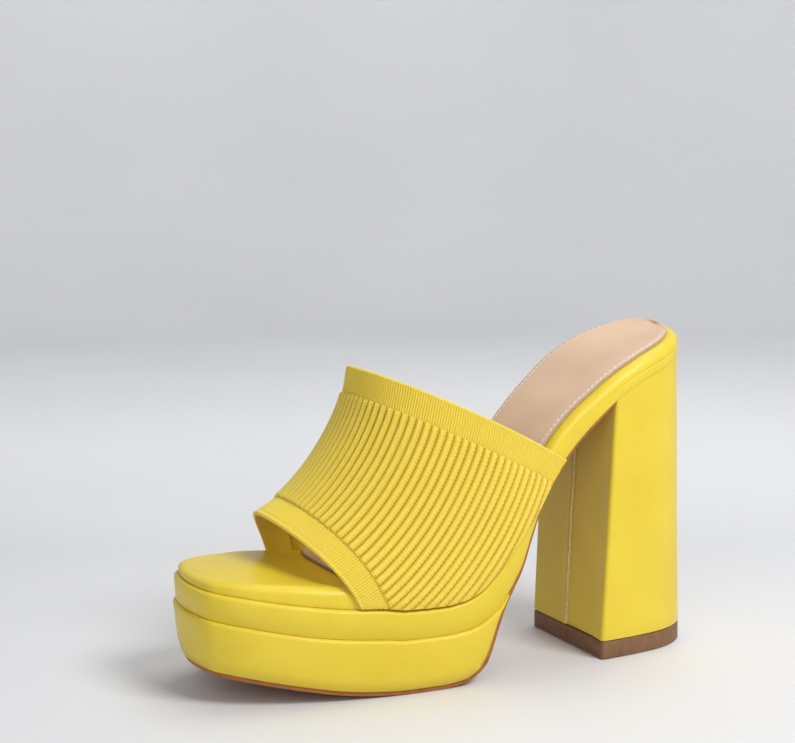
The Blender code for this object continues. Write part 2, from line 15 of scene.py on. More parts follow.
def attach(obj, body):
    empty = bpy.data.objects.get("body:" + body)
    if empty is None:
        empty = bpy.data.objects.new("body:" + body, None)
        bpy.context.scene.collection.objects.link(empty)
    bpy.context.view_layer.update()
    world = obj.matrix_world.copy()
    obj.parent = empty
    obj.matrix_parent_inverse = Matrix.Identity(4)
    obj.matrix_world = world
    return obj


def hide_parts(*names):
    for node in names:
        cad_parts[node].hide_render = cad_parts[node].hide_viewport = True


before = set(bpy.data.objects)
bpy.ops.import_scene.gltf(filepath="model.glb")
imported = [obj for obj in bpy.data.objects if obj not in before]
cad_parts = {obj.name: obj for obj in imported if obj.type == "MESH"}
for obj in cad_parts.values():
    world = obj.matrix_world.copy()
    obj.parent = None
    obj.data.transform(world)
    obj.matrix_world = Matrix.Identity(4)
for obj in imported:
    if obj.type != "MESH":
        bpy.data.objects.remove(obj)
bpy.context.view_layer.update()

# Overall sizes
LENGTH = 0.219  # back of the heel tip to the front of the lower tier
BALL_WIDTH = 0.0790  # footbed, across the ball
SEAT_WIDTH = 0.062  # footbed, across the heel seat
SEAT_HEIGHT = 0.1240  # floor to the heel seam at the back
TOE_SPRING = 0.0124  # lift of the platform's underside at the toe

# Thicknesses of the stacked layers
BOARD = 0.0022  # outsole, under the ball
LOWER_TIER = 0.0200
UPPER_TIER = 0.0110
FOOTBED = 0.0088
SOCK = 0.0010
GAP = 0.0003  # clearance between pieces that touch

# Reach each way along the shoe over which the slope of a line is read
SLOPE_STEP = 0.0014

# Edges of the layers, measured out from the footbed's own side
BOARD_TUCK = 0.0012  # board under the tiers stands this far inside, and at the waist it is flush
BOARD_BEVEL = 0.0006  # along the board's lower edge
LOWER_FOOT_OUT = -0.0002  # lower tier, at its bottom edge
LOWER_RIM_OUT = 0.0024  # lower tier, at its top edge
UPPER_RIM_OUT = 0.0018
UPPER_FOOT_TUCK = 0.0004  # upper tier's bottom edge stands this far inside its rim
RIM_RADIUS = 0.0018  # rolled top edges of the two tiers
BEAD_RADIUS = 0.0042  # padded rim of the footbed
SEAT_DISH = 0.0010  # hollow of the seat between its rims
SEAT_CANT = 0.0040  # the seat's inner side stands this much higher than its outer side
SOCK_INSET = 0.0003  # inner end of the padded rim to the sock's edge
SOCK_LENGTH = 0.1520  # back of the footbed to the sock's front edge, at its sides
SOCK_ROUND = 0.0080  # how far the sock's front edge bows forward
SOCK_DRAW = 0.0320  # length of sock over which its stations take up that bow

# Heel block
HEEL_LENGTH = 0.0500  # tip, from back to breast
HEEL_TIP_WIDTH = 0.0592
BREAST_LEAN = 0.0058  # the breast's top stands this far behind its foot
HEEL_INSET = 0.0003  # footbed's side to the heel's side at the seam
BREAST_CORNER = 0.0016  # rounding of the two corners beside the breast
TOP_PIECE = 0.0073

# Knit upper
CUFF_WALL = 0.0017
RIB_STEP = 0.0009  # the ribbed field stands this far above the two cuffs
CUFF_WIDTH = 0.0108
COLLAR_RISE = 0.0886  # collar's peak above the footbed's underside there
RIDGE_SHIFT = 0.0080  # the instep's ridge lies this far to the inner side
UPPER_CLEAR = 0.0004  # upper's lining to the footbed's side
FEATHER_STEP = 0.35  # share of RIB_STEP that is left at the feather line

# Side view. along: share of LENGTH from the back. climb: share of the height between the board's
# flat and the heel seat. spring: share of TOE_SPRING. lower, upper, foot and board: shares of the
# layers' thicknesses. dish: share of SEAT_DISH, below zero where the footbed is crowned. cant: share of
# SEAT_CANT. flare: share of their outward sizes that the tiers' edges have reached, and of its tuck
# that the board has.
SIDE_COLUMNS = ("along", "climb", "spring", "lower", "upper", "foot", "board", "dish", "cant", "flare")
SIDE = (
    (0.000, 1.000, 0.00, 0.00, 0.00, 1.14, 0.60, 1.0, 1.0, 0.0),
    (0.046, 0.975, 0.00, 0.00, 0.00, 1.03, 0.60, 1.0, 1.0, 0.0),
    (0.114, 0.936, 0.00, 0.00, 0.00, 0.99, 0.60, 1.0, 1.0, 0.0),
    (0.160, 0.901, 0.00, 0.00, 0.00, 1.00, 0.60, 1.0, 0.9, 0.0),
    (0.202, 0.858, 0.00, 0.00, 0.00, 1.05, 0.60, 0.9, 0.7, 0.0),
    (0.253, 0.789, 0.00, 0.00, 0.00, 1.16, 0.60, 0.8, 0.5, 0.0),
    (0.288, 0.735, 0.00, 0.00, 0.00, 1.30, 0.60, 0.6, 0.3, 0.0),
    (0.321, 0.673, 0.00, 0.00, 0.00, 1.45, 0.62, 0.4, 0.1, 0.0),
    (0.350, 0.606, 0.00, 0.00, 0.00, 1.62, 0.65, 0.3, 0.0, 0.1),
    (0.374, 0.535, 0.00, 0.00, 0.09, 1.82, 0.75, 0.2, 0.0, 0.2),
    (0.393, 0.459, 0.00, 0.00, 0.42, 1.89, 0.84, 0.1, 0.0, 0.3),
    (0.415, 0.362, 0.00, 0.00, 0.945, 1.86, 0.94, 0.0, 0.0, 0.4),
    (0.431, 0.309, 0.00, 0.03, 1.12, 1.78, 1.00, 0.0, 0.0, 0.5),
    (0.448, 0.256, 0.00, 0.08, 1.23, 1.65, 1.03, 0.0, 0.0, 0.6),
    (0.463, 0.196, 0.00, 0.23, 1.29, 1.52, 1.03, 0.0, 0.0, 0.7),
    (0.473, 0.146, 0.00, 0.455, 1.255, 1.48, 1.00, 0.0, 0.0, 0.8),
    (0.485, 0.088, 0.00, 0.715, 1.20, 1.41, 0.96, 0.0, 0.0, 0.9),
    (0.496, 0.052, 0.00, 0.865, 1.145, 1.35, 0.94, 0.0, 0.0, 1.0),
    (0.512, 0.024, 0.00, 0.955, 1.10, 1.26, 0.94, 0.0, 0.0, 1.0),
    (0.532, 0.008, 0.00, 1.00, 1.045, 1.17, 0.97, 0.0, 0.0, 1.0),
    (0.576, 0.000, 0.00, 1.01, 1.00, 1.01, 1.00, -0.2, 0.0, 1.0),
    (0.640, 0.000, 0.00, 1.01, 1.02, 0.92, 1.00, -0.7, 0.0, 1.0),
    (0.690, 0.000, 0.05, 1.04, 1.05, 0.88, 1.00, -1.2, 0.0, 1.0),
    (0.753, 0.000, 0.18, 1.03, 1.04, 0.88, 1.00, -1.8, 0.0, 1.0),
    (0.819, 0.000, 0.41, 1.00, 1.03, 0.82, 1.00, -2.0, 0.0, 1.0),
    (0.881, 0.000, 0.64, 0.99, 1.00, 0.68, 1.00, -1.6, 0.0, 1.0),
    (0.945, 0.000, 0.87, 0.99, 0.97, 0.50, 1.00, -0.6, 0.0, 1.0),
    (0.985, 0.000, 0.97, 1.01, 0.94, 0.40, 1.00, 0.0, 0.0, 1.0),
    (1.020, 0.000, 1.05, 1.02, 0.92, 0.32, 1.00, 0.0, 0.0, 1.0),
)

# Plan view of the footbed. seat: share of SEAT_WIDTH in the width that outer and inner are shares of,
# the rest being BALL_WIDTH. The first and last rows are the points at the back and at the toe.
PLAN_COLUMNS = ("along", "seat", "outer", "inner")
PLAN = (
    (0.011, 1.00, 0.000, 0.000),
    (0.019, 1.00, 0.194, 0.194),
    (0.044, 1.00, 0.327, 0.324),
    (0.082, 1.00, 0.419, 0.416),
    (0.132, 1.00, 0.468, 0.465),
    (0.183, 1.00, 0.492, 0.490),
    (0.228, 1.00, 0.503, 0.481),
    (0.274, 0.85, 0.496, 0.428),
    (0.320, 0.70, 0.495, 0.382),
    (0.365, 0.50, 0.494, 0.355),
    (0.411, 0.30, 0.495, 0.360),
    (0.457, 0.15, 0.492, 0.390),
    (0.502, 0.00, 0.478, 0.424),
    (0.571, 0.00, 0.476, 0.481),
    (0.639, 0.00, 0.472, 0.514),
    (0.708, 0.00, 0.459, 0.522),
    (0.776, 0.00, 0.437, 0.511),
    (0.845, 0.00, 0.399, 0.478),
    (0.913, 0.00, 0.329, 0.410),
    (0.950, 0.00, 0.261, 0.346),
    (0.973, 0.00, 0.175, 0.258),
    (0.985, 0.00, -0.038, 0.038),
)

# Ridge of the upper and the two ends of each section through it. place: share of the way from collar
# to toe opening. ridge, outer and inner: shares of LENGTH. rise: share of COLLAR_RISE above the
# footbed's underside. bow: share of CUFF_WIDTH that the section's middle stands behind a straight line.
ARCH_COLUMNS = ("place", "ridge", "rise", "outer", "inner", "bow")
ARCH = (
    (0.00, 0.644, 0.998, 0.318, 0.326, 0.20),
    (0.15, 0.652, 0.880, 0.390, 0.397, 0.16),
    (0.32, 0.675, 0.729, 0.470, 0.478, 0.12),
    (0.50, 0.709, 0.586, 0.544, 0.555, 0.12),
    (0.68, 0.745, 0.468, 0.612, 0.630, 0.14),
    (0.84, 0.781, 0.374, 0.672, 0.698, 0.17),
    (1.00, 0.826, 0.290, 0.728, 0.762, 0.20),
)
SECTION_POWER = 2.5  # 2 is an ellipse, more is squarer
STATION_GAP = 0.0006  # least distance between a layer's own end and its next station
TIER_START = 0.07  # a tier starts where its share of thickness passes this
THIN_SHARES = (0.25, 0.7)  # most of a layer's thickness that its lower and its upper edge may take
COLUMN_CROWDING = 0.75  # 0 spaces the upper's columns evenly, 1 crowds them most at the feather line
STATIONS = 300
FINE_STATIONS = 4000
TIER_SEARCH = 2000
EDGE_BEVEL = 0.0004  # lower edges of the wrapped layers
END_STATIONS = 16
PLAN_POINTS = 24

# Knit
COLLAR_PITCH = 0.0031  # from rib to rib at the collar
TOE_PITCH = 0.0032
BEAD_PITCH = 0.00120  # along the ridge
ROWS_PER_BEAD = 4
RIB_SAMPLES = (0.0, 0.08, 0.17, 0.27, 0.37, 0.47, 0.57, 0.68, 0.80, 0.92)
RIB_START = 0.05  # shares of the pitch at which a rib starts and stops
RIB_STOP = 0.93
RIB_POWER = 0.42  # below 0.5 a rib's top is flatter than a round one
BEAD_BITE = 0.08  # share of the pitch by which a rib starts later between two beads
BEAD_SHIFT = 2.4  # radians from one rib's beads to the next one's
BEAD_SIDE = 0.46  # share of the pitch up to which painted shade darkens the rib between its beads
DENT_PLACE = 0.38  # fold beside the beads, as shares of the pitch and of the rib's height
DENT_WIDTH = 0.09
DENT_DEPTH = 0.10
DENT_BETWEEN = 0.16  # added to its depth between two beads
HALF_GIRTH = 0.11  # more than the upper's half girth, so that the ribs' columns reach its ends
RIB_END = 0.0014  # length over which a rib rises out of the cuff
NOTCH = 0.0002  # depth of the grooves below the cuffs
FEATHER_REACH = 0.0040  # width of the strip in which the ribs flatten towards the feather line
FINE_RIBS = 3  # fine ribs of the cuffs for each rib
FINE_SAMPLES = 6
FINE_RELIEF = 0.00042
EDGE_ROLL = 0.0009
STITCH_LINE = 0.0017  # from the toe opening's edge
COLLAR_TOOTH = (0.0010, 0.00018)
TOE_TOOTH = (0.00125, 0.00034)
EDGE_WALL = 0.45  # share of the cuffs' wall that is left at their very edge
STITCH_GROOVE = (0.00022, 0.00012)  # width and depth of the line of stitches
JOINT_GROOVE = (0.0004, 0.0001)  # the same, where a cuff meets the ribs
LINING_SINK = 0.00008  # the cuffs' lining lies this far inside that of the ribs
CUFF_ROWS = (0.0, 0.012, 0.03, 0.055, 0.085, 0.12, 0.142, 0.158, 0.174, 0.2, 0.3, 0.45, 0.6, 0.75, 0.88,
             0.95, 0.98, 1.0, 1.03)
STITCHES_PER_RIB = 6
STITCH_HEIGHT = 0.00055
UV_UNITS = 1000  # the knit's second texture coordinate is in millimetres
TURNS = 321
PLACES = 121
INNER_COLUMNS = 65
INNER_ROWS = 17

# Sewing, folds and the heel's seam
STITCH_INSET = 0.0020  # sewing line to the sock's edge
STITCH_STEP = 0.0026
STITCH_LENGTH = 0.0019
STITCH_WIDTH = 0.0005
FOLD_DEPTH = 0.0003  # fold line below the footbed's rim at the heel
FOLD_DROP = 0.0010  # below the padded rim
FOLD_FRONT = 0.040  # X at which it has faded out, over FOLD_REACH
FOLD_REACH = 0.030
CORNER_STEPS = 5
BREAST_STRIPS = 60
SEAM_PLACE = -0.0010
SEAM_LAP = 0.0009  # height of the step
SEAM_EDGE = 0.0002  # width over which the lap steps down
SEAM_SWELL = 0.35  # share of the lap by which it swells behind its edge
SWELL = (-6, 5)  # place and width of that swelling, as multiples of SEAM_EDGE
SEAM_EDGE_WIDTH = 0.0008
TIP_LAP = 0.00015  # trace of the lap in the tip's front face
WRAP_BEVEL = 0.0005  # lower edge of the heel's wrap
TIP_BEVEL = 0.0004
SEAM_ROWS = 90
SEAM_TOP_GAP = 0.0010  # raw edge to the heel's upper and lower end
SEAM_FOOT_GAP = 0.0012
SEAM_ROOT = 0.0016  # depth to which the raw edge reaches into the wrap
SEAM_PROUD = 0.0001
HEEL_RINGS = 24
PLUG_RADIUS = 0.0018
PLUG_PLACE = (-0.0010, 0.0036)

# Colours, linear, as a light and a dark one
YELLOW = ((0.80, 0.61, 0.048), (0.75, 0.56, 0.038))
NUDE = ((0.80, 0.57, 0.39), (0.72, 0.50, 0.335))
TAN = ((0.43, 0.16, 0.03), (0.33, 0.11, 0.02))
SOCK_RIM = ((0.50, 0.36, 0.27), (0.40, 0.28, 0.20))
RAW = ((0.86, 0.80, 0.72), (0.62, 0.50, 0.42))
THREAD = ((0.90, 0.86, 0.82), (0.75, 0.70, 0.66))
RUBBER = ((0.235, 0.120, 0.056), (0.180, 0.088, 0.038))
FLOOR = ((0.80, 0.80, 0.81), (0.76, 0.76, 0.77))
# Knit colours for painted shade that follows the relief: the groove colour is painted shade between the
# ribs, the flank colour is yarn in part painted shade, the top colour is the yarn itself
KNIT_GROOVE_SHADE = (0.56, 0.31, 0.008)
KNIT_FLANK = (0.82, 0.57, 0.030)
KNIT_TOP = (0.91, 0.72, 0.095)

# Studio
STAGE_CENTRE = (0.085, 0.0)
FLOOR_RADIUS = 1.30
WALL_BEND = 0.50
WALL_HEIGHT = 1.40
STAGE_STEPS = 12
STAGE_SIDES = 96
FLOOR_DROP = 0.0001  # floor's distance below the shoe's lowest face
AIR_COLOUR = (0.92, 0.95, 1.0)
AIR_STRENGTH = 0.26
# name, place and aim as (to the camera's right, towards the camera, up), size, watts
LIGHTS = (
    ("key", (0.66, 0.62, 1.00), (0.0, 0.0, 0.05), 0.52, 11.6),
    ("top", (0.25, -0.30, 1.15), (0.0, 0.0, 0.05), 0.70, 4.0),
    ("front", (-0.20, 1.10, 0.60), (0.0, 0.0, 0.05), 0.70, 2.4),
    ("wall", (0.0, -0.35, 1.00), (0.0, -1.70, 0.80), 1.20, 6.0),
)

# Camera of the photograph
CAMERA_PLACE = (0.38506, 0.63243, 0.20778)
CAMERA_YAW = 24.129
CAMERA_PITCH = 7.196
CAMERA_ROLL = -0.645
CAMERA_LENS = 79.62


def column(table, columns, name):
    """One named column of a table, as an array."""
    return np.array([row[columns.index(name)] for row in table])


def smooth(xs, ys):
    """A cubic through the points that never overshoots between two of them."""
    xs = np.asarray(xs, float)
    ys = np.asarray(ys, float)
    steps = np.diff(xs)
    rates = np.diff(ys) / steps
    slopes = np.zeros(len(xs))
    slopes[0] = rates[0]
    slopes[-1] = rates[-1]
    for i in range(1, len(xs) - 1):
        if rates[i - 1] * rates[i] > 0:
            slopes[i] = 2 * rates[i - 1] * rates[i] / (rates[i - 1] + rates[i])

    def value(x):
        x = np.clip(np.asarray(x, float), xs[0], xs[-1])
        i = np.clip(np.searchsorted(xs, x) - 1, 0, len(xs) - 2)
        t = (x - xs[i]) / steps[i]
        return ((1 + 2 * t) * (1 - t) ** 2 * ys[i] + t * t * (3 - 2 * t) * ys[i + 1]
                + steps[i] * (t * (1 - t) ** 2 * slopes[i] - t * t * (1 - t) * slopes[i + 1]))

    return value


BACK = -HEEL_LENGTH / 2
BREAST_TOP = BACK + HEEL_LENGTH - BREAST_LEAN


def at(along):
    """The X of a share of the length."""
    return BACK + np.asarray(along) * LENGTH


def side_curve(name):
    """A column of SIDE as a smooth function of X."""
    return smooth(at(column(SIDE, SIDE_COLUMNS, "along")), column(SIDE, SIDE_COLUMNS, name))


(climb, spring, lower_share, upper_share, foot_share,
 board_share, dish_share, cant_share, flare) = map(side_curve, SIDE_COLUMNS[1:])


def board_top(x):
    return BOARD + climb(x) * (SEAT_HEIGHT - BOARD) + spring(x) * TOE_SPRING


def tier_line(x):
    """Top of the lower tier."""
    return board_top(x) + lower_share(x) * LOWER_TIER


def foot_line(x):
    """Underside of the footbed, which is the heel seam, the top of the board or of the upper tier."""
    return tier_line(x) + upper_share(x) * UPPER_TIER


def foot_top(x):
    return foot_line(x) + foot_share(x) * FOOTBED


def upright(line, x, distance):
    """How far up a line moves when it is moved square to itself by a distance."""
    slope = (line(x + SLOPE_STEP) - line(x - SLOPE_STEP)) / (2 * SLOPE_STEP)
    return distance * np.sqrt(1 + slope * slope)


def above(line, distance):
    return lambda x: line(x) + upright(line, x, distance)


def board_bottom(x):
    """The board's underside, parallel to its top. It is exactly flat on the floor under the ball."""
    return board_top(x) - upright(board_top, x, BOARD * board_share(x))


def closed_spline(points, per_span):
    """A smooth closed curve through plan points."""
    points = np.asarray(points, float)
    count = len(points)
    curve = []
    for i in range(count):
        p0, p1, p2, p3 = (points[(i + k - 1) % count] for k in range(4))
        for t in np.arange(per_span) / per_span:
            curve.append(0.5 * (2 * p1 + (p2 - p0) * t + (2 * p0 - 5 * p1 + 4 * p2 - p3) * t ** 2
                                + (3 * p1 - p0 - 3 * p2 + p3) * t ** 3))
    return np.array(curve)


def make_plan():
    """The footbed's outline: X, Y and outward direction for the outer and the inner side."""
    x = at(column(PLAN, PLAN_COLUMNS, "along"))
    seat = column(PLAN, PLAN_COLUMNS, "seat")
    width = seat * SEAT_WIDTH + (1 - seat) * BALL_WIDTH
    outer = column(PLAN, PLAN_COLUMNS, "outer") * width
    inner = -column(PLAN, PLAN_COLUMNS, "inner") * width
    knots = [(x[i], outer[i]) for i in range(len(x))] + [(x[i], inner[i]) for i in range(len(x) - 2, 0, -1)]
    loop = closed_spline(knots, PLAN_POINTS)
    ahead = np.roll(loop, -1, axis=0) - np.roll(loop, 1, axis=0)
    out = np.column_stack([-ahead[:, 1], ahead[:, 0]])
    out /= np.linalg.norm(out, axis=1)[:, None]
    toe = (len(x) - 1) * PLAN_POINTS
    sides = {1: np.arange(0, toe + 1), -1: (-np.arange(0, len(loop) - toe + 1)) % len(loop)}
    return {side: (loop[index], out[index]) for side, index in sides.items()}


PLAN_SIDES = make_plan()


def edge_point(x, side, outset=0.0):
    """Plan point of one side at a given X, moved square to the edge by the outset."""
    loop, out = PLAN_SIDES[side]
    y = np.interp(x, loop[:, 0], loop[:, 1])
    direction = np.array([np.interp(x, loop[:, 0], out[:, k]) for k in range(2)])
    direction /= np.linalg.norm(direction)
    return np.array([x, y]) + outset * direction


def half_width(x, side):
    """Distance of one side from the XZ plane at a given X."""
    loop, _ = PLAN_SIDES[side]
    return np.interp(x, loop[:, 0], side * loop[:, 1])


def cant(x, y):
    """How much higher than its outer edge the seat stands at a plan point."""
    outer = half_width(x, 1)
    return SEAT_CANT * cant_share(x) * (outer - y) / np.maximum(outer + half_width(x, -1), SEAT_WIDTH / 2)


FOOT_BACK = PLAN_SIDES[1][0][0, 0]
FOOT_TOE = PLAN_SIDES[1][0][-1, 0]


def half_widths(x, side):
    """half_width for arrays of X and of sides."""
    return np.where(side > 0, half_width(x, 1), half_width(x, -1))


def finish_object(name, bm, mats, replaced=(), sharp_degrees=50):
    """Turn a closed bmesh into a named, smooth-shaded piece of the shoe."""
    bmesh.ops.recalc_face_normals(bm, faces=bm.faces)
    mesh = bpy.data.meshes.new(name)
    bm.to_mesh(mesh)
    bm.free()
    mesh.shade_smooth()
    mesh.set_sharp_from_angle(angle=math.radians(sharp_degrees))
    for mat in mats:
        mesh.materials.append(mat)
    obj = bpy.data.objects.new(name, mesh)
    bpy.context.collection.objects.link(obj)
    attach(obj, "root")
    if replaced:
        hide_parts(*replaced)


def arch_curve(name, size):
    """A column of ARCH, turned into a size, as a smooth function of the place along the upper."""
    return smooth(column(ARCH, ARCH_COLUMNS, "place"), size(column(ARCH, ARCH_COLUMNS, name)))


ridge_x, outer_x, inner_x = (arch_curve(name, at) for name in ("ridge", "outer", "inner"))
ridge_rise = arch_curve("rise", lambda share: share * COLLAR_RISE)
bow_back = arch_curve("bow", lambda share: share * CUFF_WIDTH)


def make_stations():
    """X values from back to toe, even along the side profile and the plan, and closer at both ends."""
    fine = np.linspace(FOOT_BACK, FOOT_TOE, FINE_STATIONS)
    path = np.diff(fine) ** 2 + np.diff(board_top(fine)) ** 2 + np.diff(half_width(fine, 1)) ** 2
    length = np.concatenate([[0], np.cumsum(np.sqrt(path))])
    even = np.interp(np.linspace(0, length[-1], STATIONS), length, fine)
    turn = [1 - math.cos(math.pi / 2 * k / END_STATIONS) for k in range(END_STATIONS)]
    rear = [FOOT_BACK + (even[3] - FOOT_BACK) * t for t in turn]
    front = [FOOT_TOE - (FOOT_TOE - even[-4]) * t for t in turn]
    return np.array(rear + list(even[3:-3]) + front[::-1])


def stations_from(start):
    common = make_stations()
    return np.concatenate([[start], common[common > start + STATION_GAP]])


def hollow_share(share):
    """Depth of a dish at a share of the way across it."""
    rise = 1 - abs(2 * share - 1)
    return rise * rise * (3 - 2 * rise)


def layer(name, mats, replaced, xs, profile, low, high, across=2, dish=(0.0, 0.0),
          tips=(False, True), bow=None, wall_mat=0, tuck=0.0):
    """A layer of the sole, from one loop of points around the shoe's section at each station.

    profile is the wall from bottom to top as (outset, base, offset), or a function that gives it at an
    X. Base 0 measures the offset up from the lower face, base 1 down from the upper one. Where the
    layer is thin the offsets shrink to shares of its thickness. A tip closes an end on the plan's own
    point. tuck draws the whole wall in where the tiers flare out.
    """
    bm = bmesh.new()

    def wall(x, side):
        points = []
        rows = profile(x) if callable(profile) else profile
        deepest = [max([row[2] for row in rows if row[1] == base], default=0.0) for base in (0, 1)]
        for outset, base, offset in rows:
            spread = float(flare(x))
            px, py = edge_point(x, side, (outset * spread if outset > 0 else outset) - tuck * spread)
            bottom = float(low(px))
            top = float(high(px))
            room = THIN_SHARES[base] * (top - bottom)
            if deepest[base] > room:
                offset *= room / deepest[base]
            points.append((px, py, (top - offset if base else bottom + offset) + float(cant(px, py))))
        return points

    def face_row(a, b, ends, line, sink):
        row = [ends[0]]
        for k in range(1, across):
            share = k / across
            px, py = a[0] + (b[0] - a[0]) * share, a[1] + (b[1] - a[1]) * share
            px += float(bow(px, share)) if bow else 0.0
            hollow = sink * float(dish_share(px)) * hollow_share(share)
            row.append(bm.verts.new((px, py, float(line(px)) + float(cant(px, py)) - hollow)))
        return row + [ends[1]]

    def bridge(a, b, mat):
        for i in range(max(len(a), len(b)) - 1):
            corners = [a[min(i, len(a) - 1)], a[min(i + 1, len(a) - 1)],
                       b[min(i + 1, len(b) - 1)], b[min(i, len(b) - 1)]]
            unique = list(dict.fromkeys(corners))
            if len(unique) > 2:
                bm.faces.new(unique).material_index = mat

    sections = []
    for i, x in enumerate(xs):
        outer_points = wall(x, 1)
        outer = [bm.verts.new(p) for p in outer_points]
        if (i == 0 and tips[0]) or (i == len(xs) - 1 and tips[1]):
            sections.append((outer, outer, [outer[-1]], [outer[0]]))
            continue
        inner_points = wall(x, -1)
        inner = [bm.verts.new(p) for p in inner_points]
        top = face_row(outer_points[-1], inner_points[-1], (outer[-1], inner[-1]), high, dish[1])
        bottom = face_row(outer_points[0], inner_points[0], (outer[0], inner[0]), low, dish[0])
        sections.append((outer, inner, top, bottom))
    part_mats = (wall_mat, wall_mat, 0, 0)
    for first, second in zip(sections[:-1], sections[1:]):
        for part, mat in enumerate(part_mats):
            bridge(first[part], second[part], mat)
    for closed, (outer, inner, top, bottom) in zip(tips, (sections[0], sections[-1])):
        if closed:
            continue
        rim = outer + top[1:-1] + inner[::-1] + bottom[1:-1][::-1]
        bm.faces.new(rim).material_index = wall_mat
    finish_object(name, bm, mats, replaced)


def rounded(outset, radius, steps):
    """The upper edge of a wall, rolled over by a quarter turn."""
    turns = [math.pi / 2 * k / steps for k in range(steps + 1)]
    return [(outset - radius * (1 - math.cos(a)), 1, radius * (1 - math.sin(a))) for a in turns]


def tier_start(share_curve):
    fine = np.linspace(BACK, BACK + LENGTH, TIER_SEARCH)
    return float(fine[np.argmax(share_curve(fine) > TIER_START)])


class Shader:
    """A Principled material and short ways to add nodes to it."""

    def __init__(self, name, roughness, specular=0.5, sheen=0.0, sheen_roughness=0.5,
                 coat=0.0, coat_roughness=0.2):
        self.mat = bpy.data.materials.new(name)
        self.mat.use_nodes = True
        self.tree = self.mat.node_tree
        self.out = self.tree.nodes["Principled BSDF"]
        for socket, value in (("Roughness", roughness), ("Specular IOR Level", specular),
                              ("Sheen Weight", sheen), ("Sheen Roughness", sheen_roughness),
                              ("Coat Weight", coat), ("Coat Roughness", coat_roughness)):
            self.out.inputs[socket].default_value = value

    def link(self, source, socket):
        self.tree.links.new(source, self.out.inputs[socket])

    def node(self, kind, output, inputs=None, **settings):
        """Add a node and give one of its outputs. inputs are values, or outputs of other nodes."""
        made = self.tree.nodes.new("ShaderNode" + kind)
        for name, value in settings.items():
            setattr(made, name, value)
        for socket, value in (inputs or {}).items():
            if isinstance(value, bpy.types.NodeSocket):
                self.tree.links.new(value, made.inputs[socket])
            else:
                made.inputs[socket].default_value = value
        return made.outputs[output]

    def math(self, operation, a, b=0.0):
        return self.node("Math", 0, {0: a, 1: b}, operation=operation)

    def position(self):
        return self.node("TexCoord", "Object")

    def noise(self, vector, scale, detail=2.0, roughness=0.5):
        inputs = {"Vector": vector, "Scale": scale, "Detail": detail, "Roughness": roughness}
        return self.node("TexNoise", "Fac", inputs)

    def span(self, value, low, high, to_low=0.0, to_high=1.0):
        return self.node("MapRange", 0, {0: value, 1: low, 2: high, 3: to_low, 4: to_high})

    def ramp(self, value, *stops):
        node = self.tree.nodes.new("ShaderNodeValToRGB")
        elements = node.color_ramp.elements
        while len(elements) < len(stops):
            elements.new(0.5)
        for element, (place, colour) in zip(elements, stops):
            element.position = place
            element.color = (*colour, 1.0)
        self.tree.links.new(value, node.inputs[0])
        return node.outputs[0]

    def bump(self, *layers):
        """Bump from (height, distance, strength) layers, one on top of another."""
        normal = None
        for height, distance, strength in layers:
            inputs = {"Height": height, "Distance": distance, "Strength": strength}
            if normal:
                inputs["Normal"] = normal
            normal = self.node("Bump", 0, inputs)
        self.link(normal, "Normal")


def leather(name, light, dark, roughness, grain=0.00006, coat=0.05):
    """Smooth finished leather: fine pores, slow waves and small changes of colour and gloss."""
    shader = Shader(name, roughness, specular=0.30, coat=coat, coat_roughness=0.32)
    place = shader.position()
    slow = shader.noise(place, 38.0, 3.0)
    shader.link(shader.ramp(slow, (0.30, dark), (0.68, light)), "Base Color")
    pores = shader.node("TexVoronoi", "Distance", {"Vector": place, "Scale": 1900.0})
    fine = shader.noise(place, 900.0, 4.0, 0.6)
    shader.link(shader.span(fine, 0.3, 0.7, roughness - 0.05, roughness + 0.07), "Roughness")
    waves = shader.noise(place, 55.0, 2.0)
    shader.bump((waves, 0.0004, 0.35), (pores, grain, 0.5), (fine, grain, 0.35))
    return shader.mat


def knit(name):
    """Yarn: painted shade in deep orange between the ribs and between the beads, the full yarn colour on
    their tops, with small V stitches and fuzz.
    """
    shader = Shader(name, 0.82, specular=0.25, sheen=0.35, sheen_roughness=0.45)
    uv = shader.node("TexCoord", "UV")
    across, along = (shader.node("SeparateXYZ", axis, {0: uv}) for axis in ("X", "Y"))
    place = shader.position()
    lane = shader.math("FRACT", shader.math("MULTIPLY", across, STITCHES_PER_RIB))
    wing = shader.math("ABSOLUTE", shader.math("SUBTRACT", lane, 0.5))
    row = shader.math("ADD", shader.math("DIVIDE", along, STITCH_HEIGHT * UV_UNITS), wing)
    wave = shader.math("SINE", shader.math("MULTIPLY", row, 2 * math.pi))
    stitch = shader.math("SUBTRACT", shader.span(wave, -1.0, 1.0), shader.math("MULTIPLY", wing, 0.8))
    fuzz = shader.noise(place, 2600.0, 3.0, 0.7)
    patches = shader.noise(place, 60.0, 2.0)
    # Per-vertex painted shade: low in the grooves and hollows, high on the ribs' tops; the ramp below turns
    # it into colour
    painted_shading = shader.node("Attribute", "Fac", attribute_name="painted_shading")
    mixed = painted_shading
    for change, amount in ((fuzz, 0.30), (patches, 0.18)):
        change = shader.math("MULTIPLY", shader.math("SUBTRACT", change, 0.5), amount)
        mixed = shader.math("ADD", mixed, change)
    colour = shader.ramp(mixed, (0.0, KNIT_GROOVE_SHADE), (0.42, KNIT_FLANK), (0.90, KNIT_TOP))
    shader.link(colour, "Base Color")
    shader.bump((stitch, 0.00014, 0.75), (fuzz, 0.00006, 0.5))
    return shader.mat


def plain(name, light, dark, roughness, scale, depth, specular=0.4):
    """A quiet surface with two close colours and a fine texture."""
    shader = Shader(name, roughness, specular=specular)
    place = shader.position()
    spots = shader.noise(place, scale, 4.0, 0.6)
    shader.link(shader.ramp(spots, (0.32, dark), (0.66, light)), "Base Color")
    fine = shader.noise(place, scale * 9, 3.0, 0.6)
    shader.bump((fine, depth, 0.6))
    return shader.mat


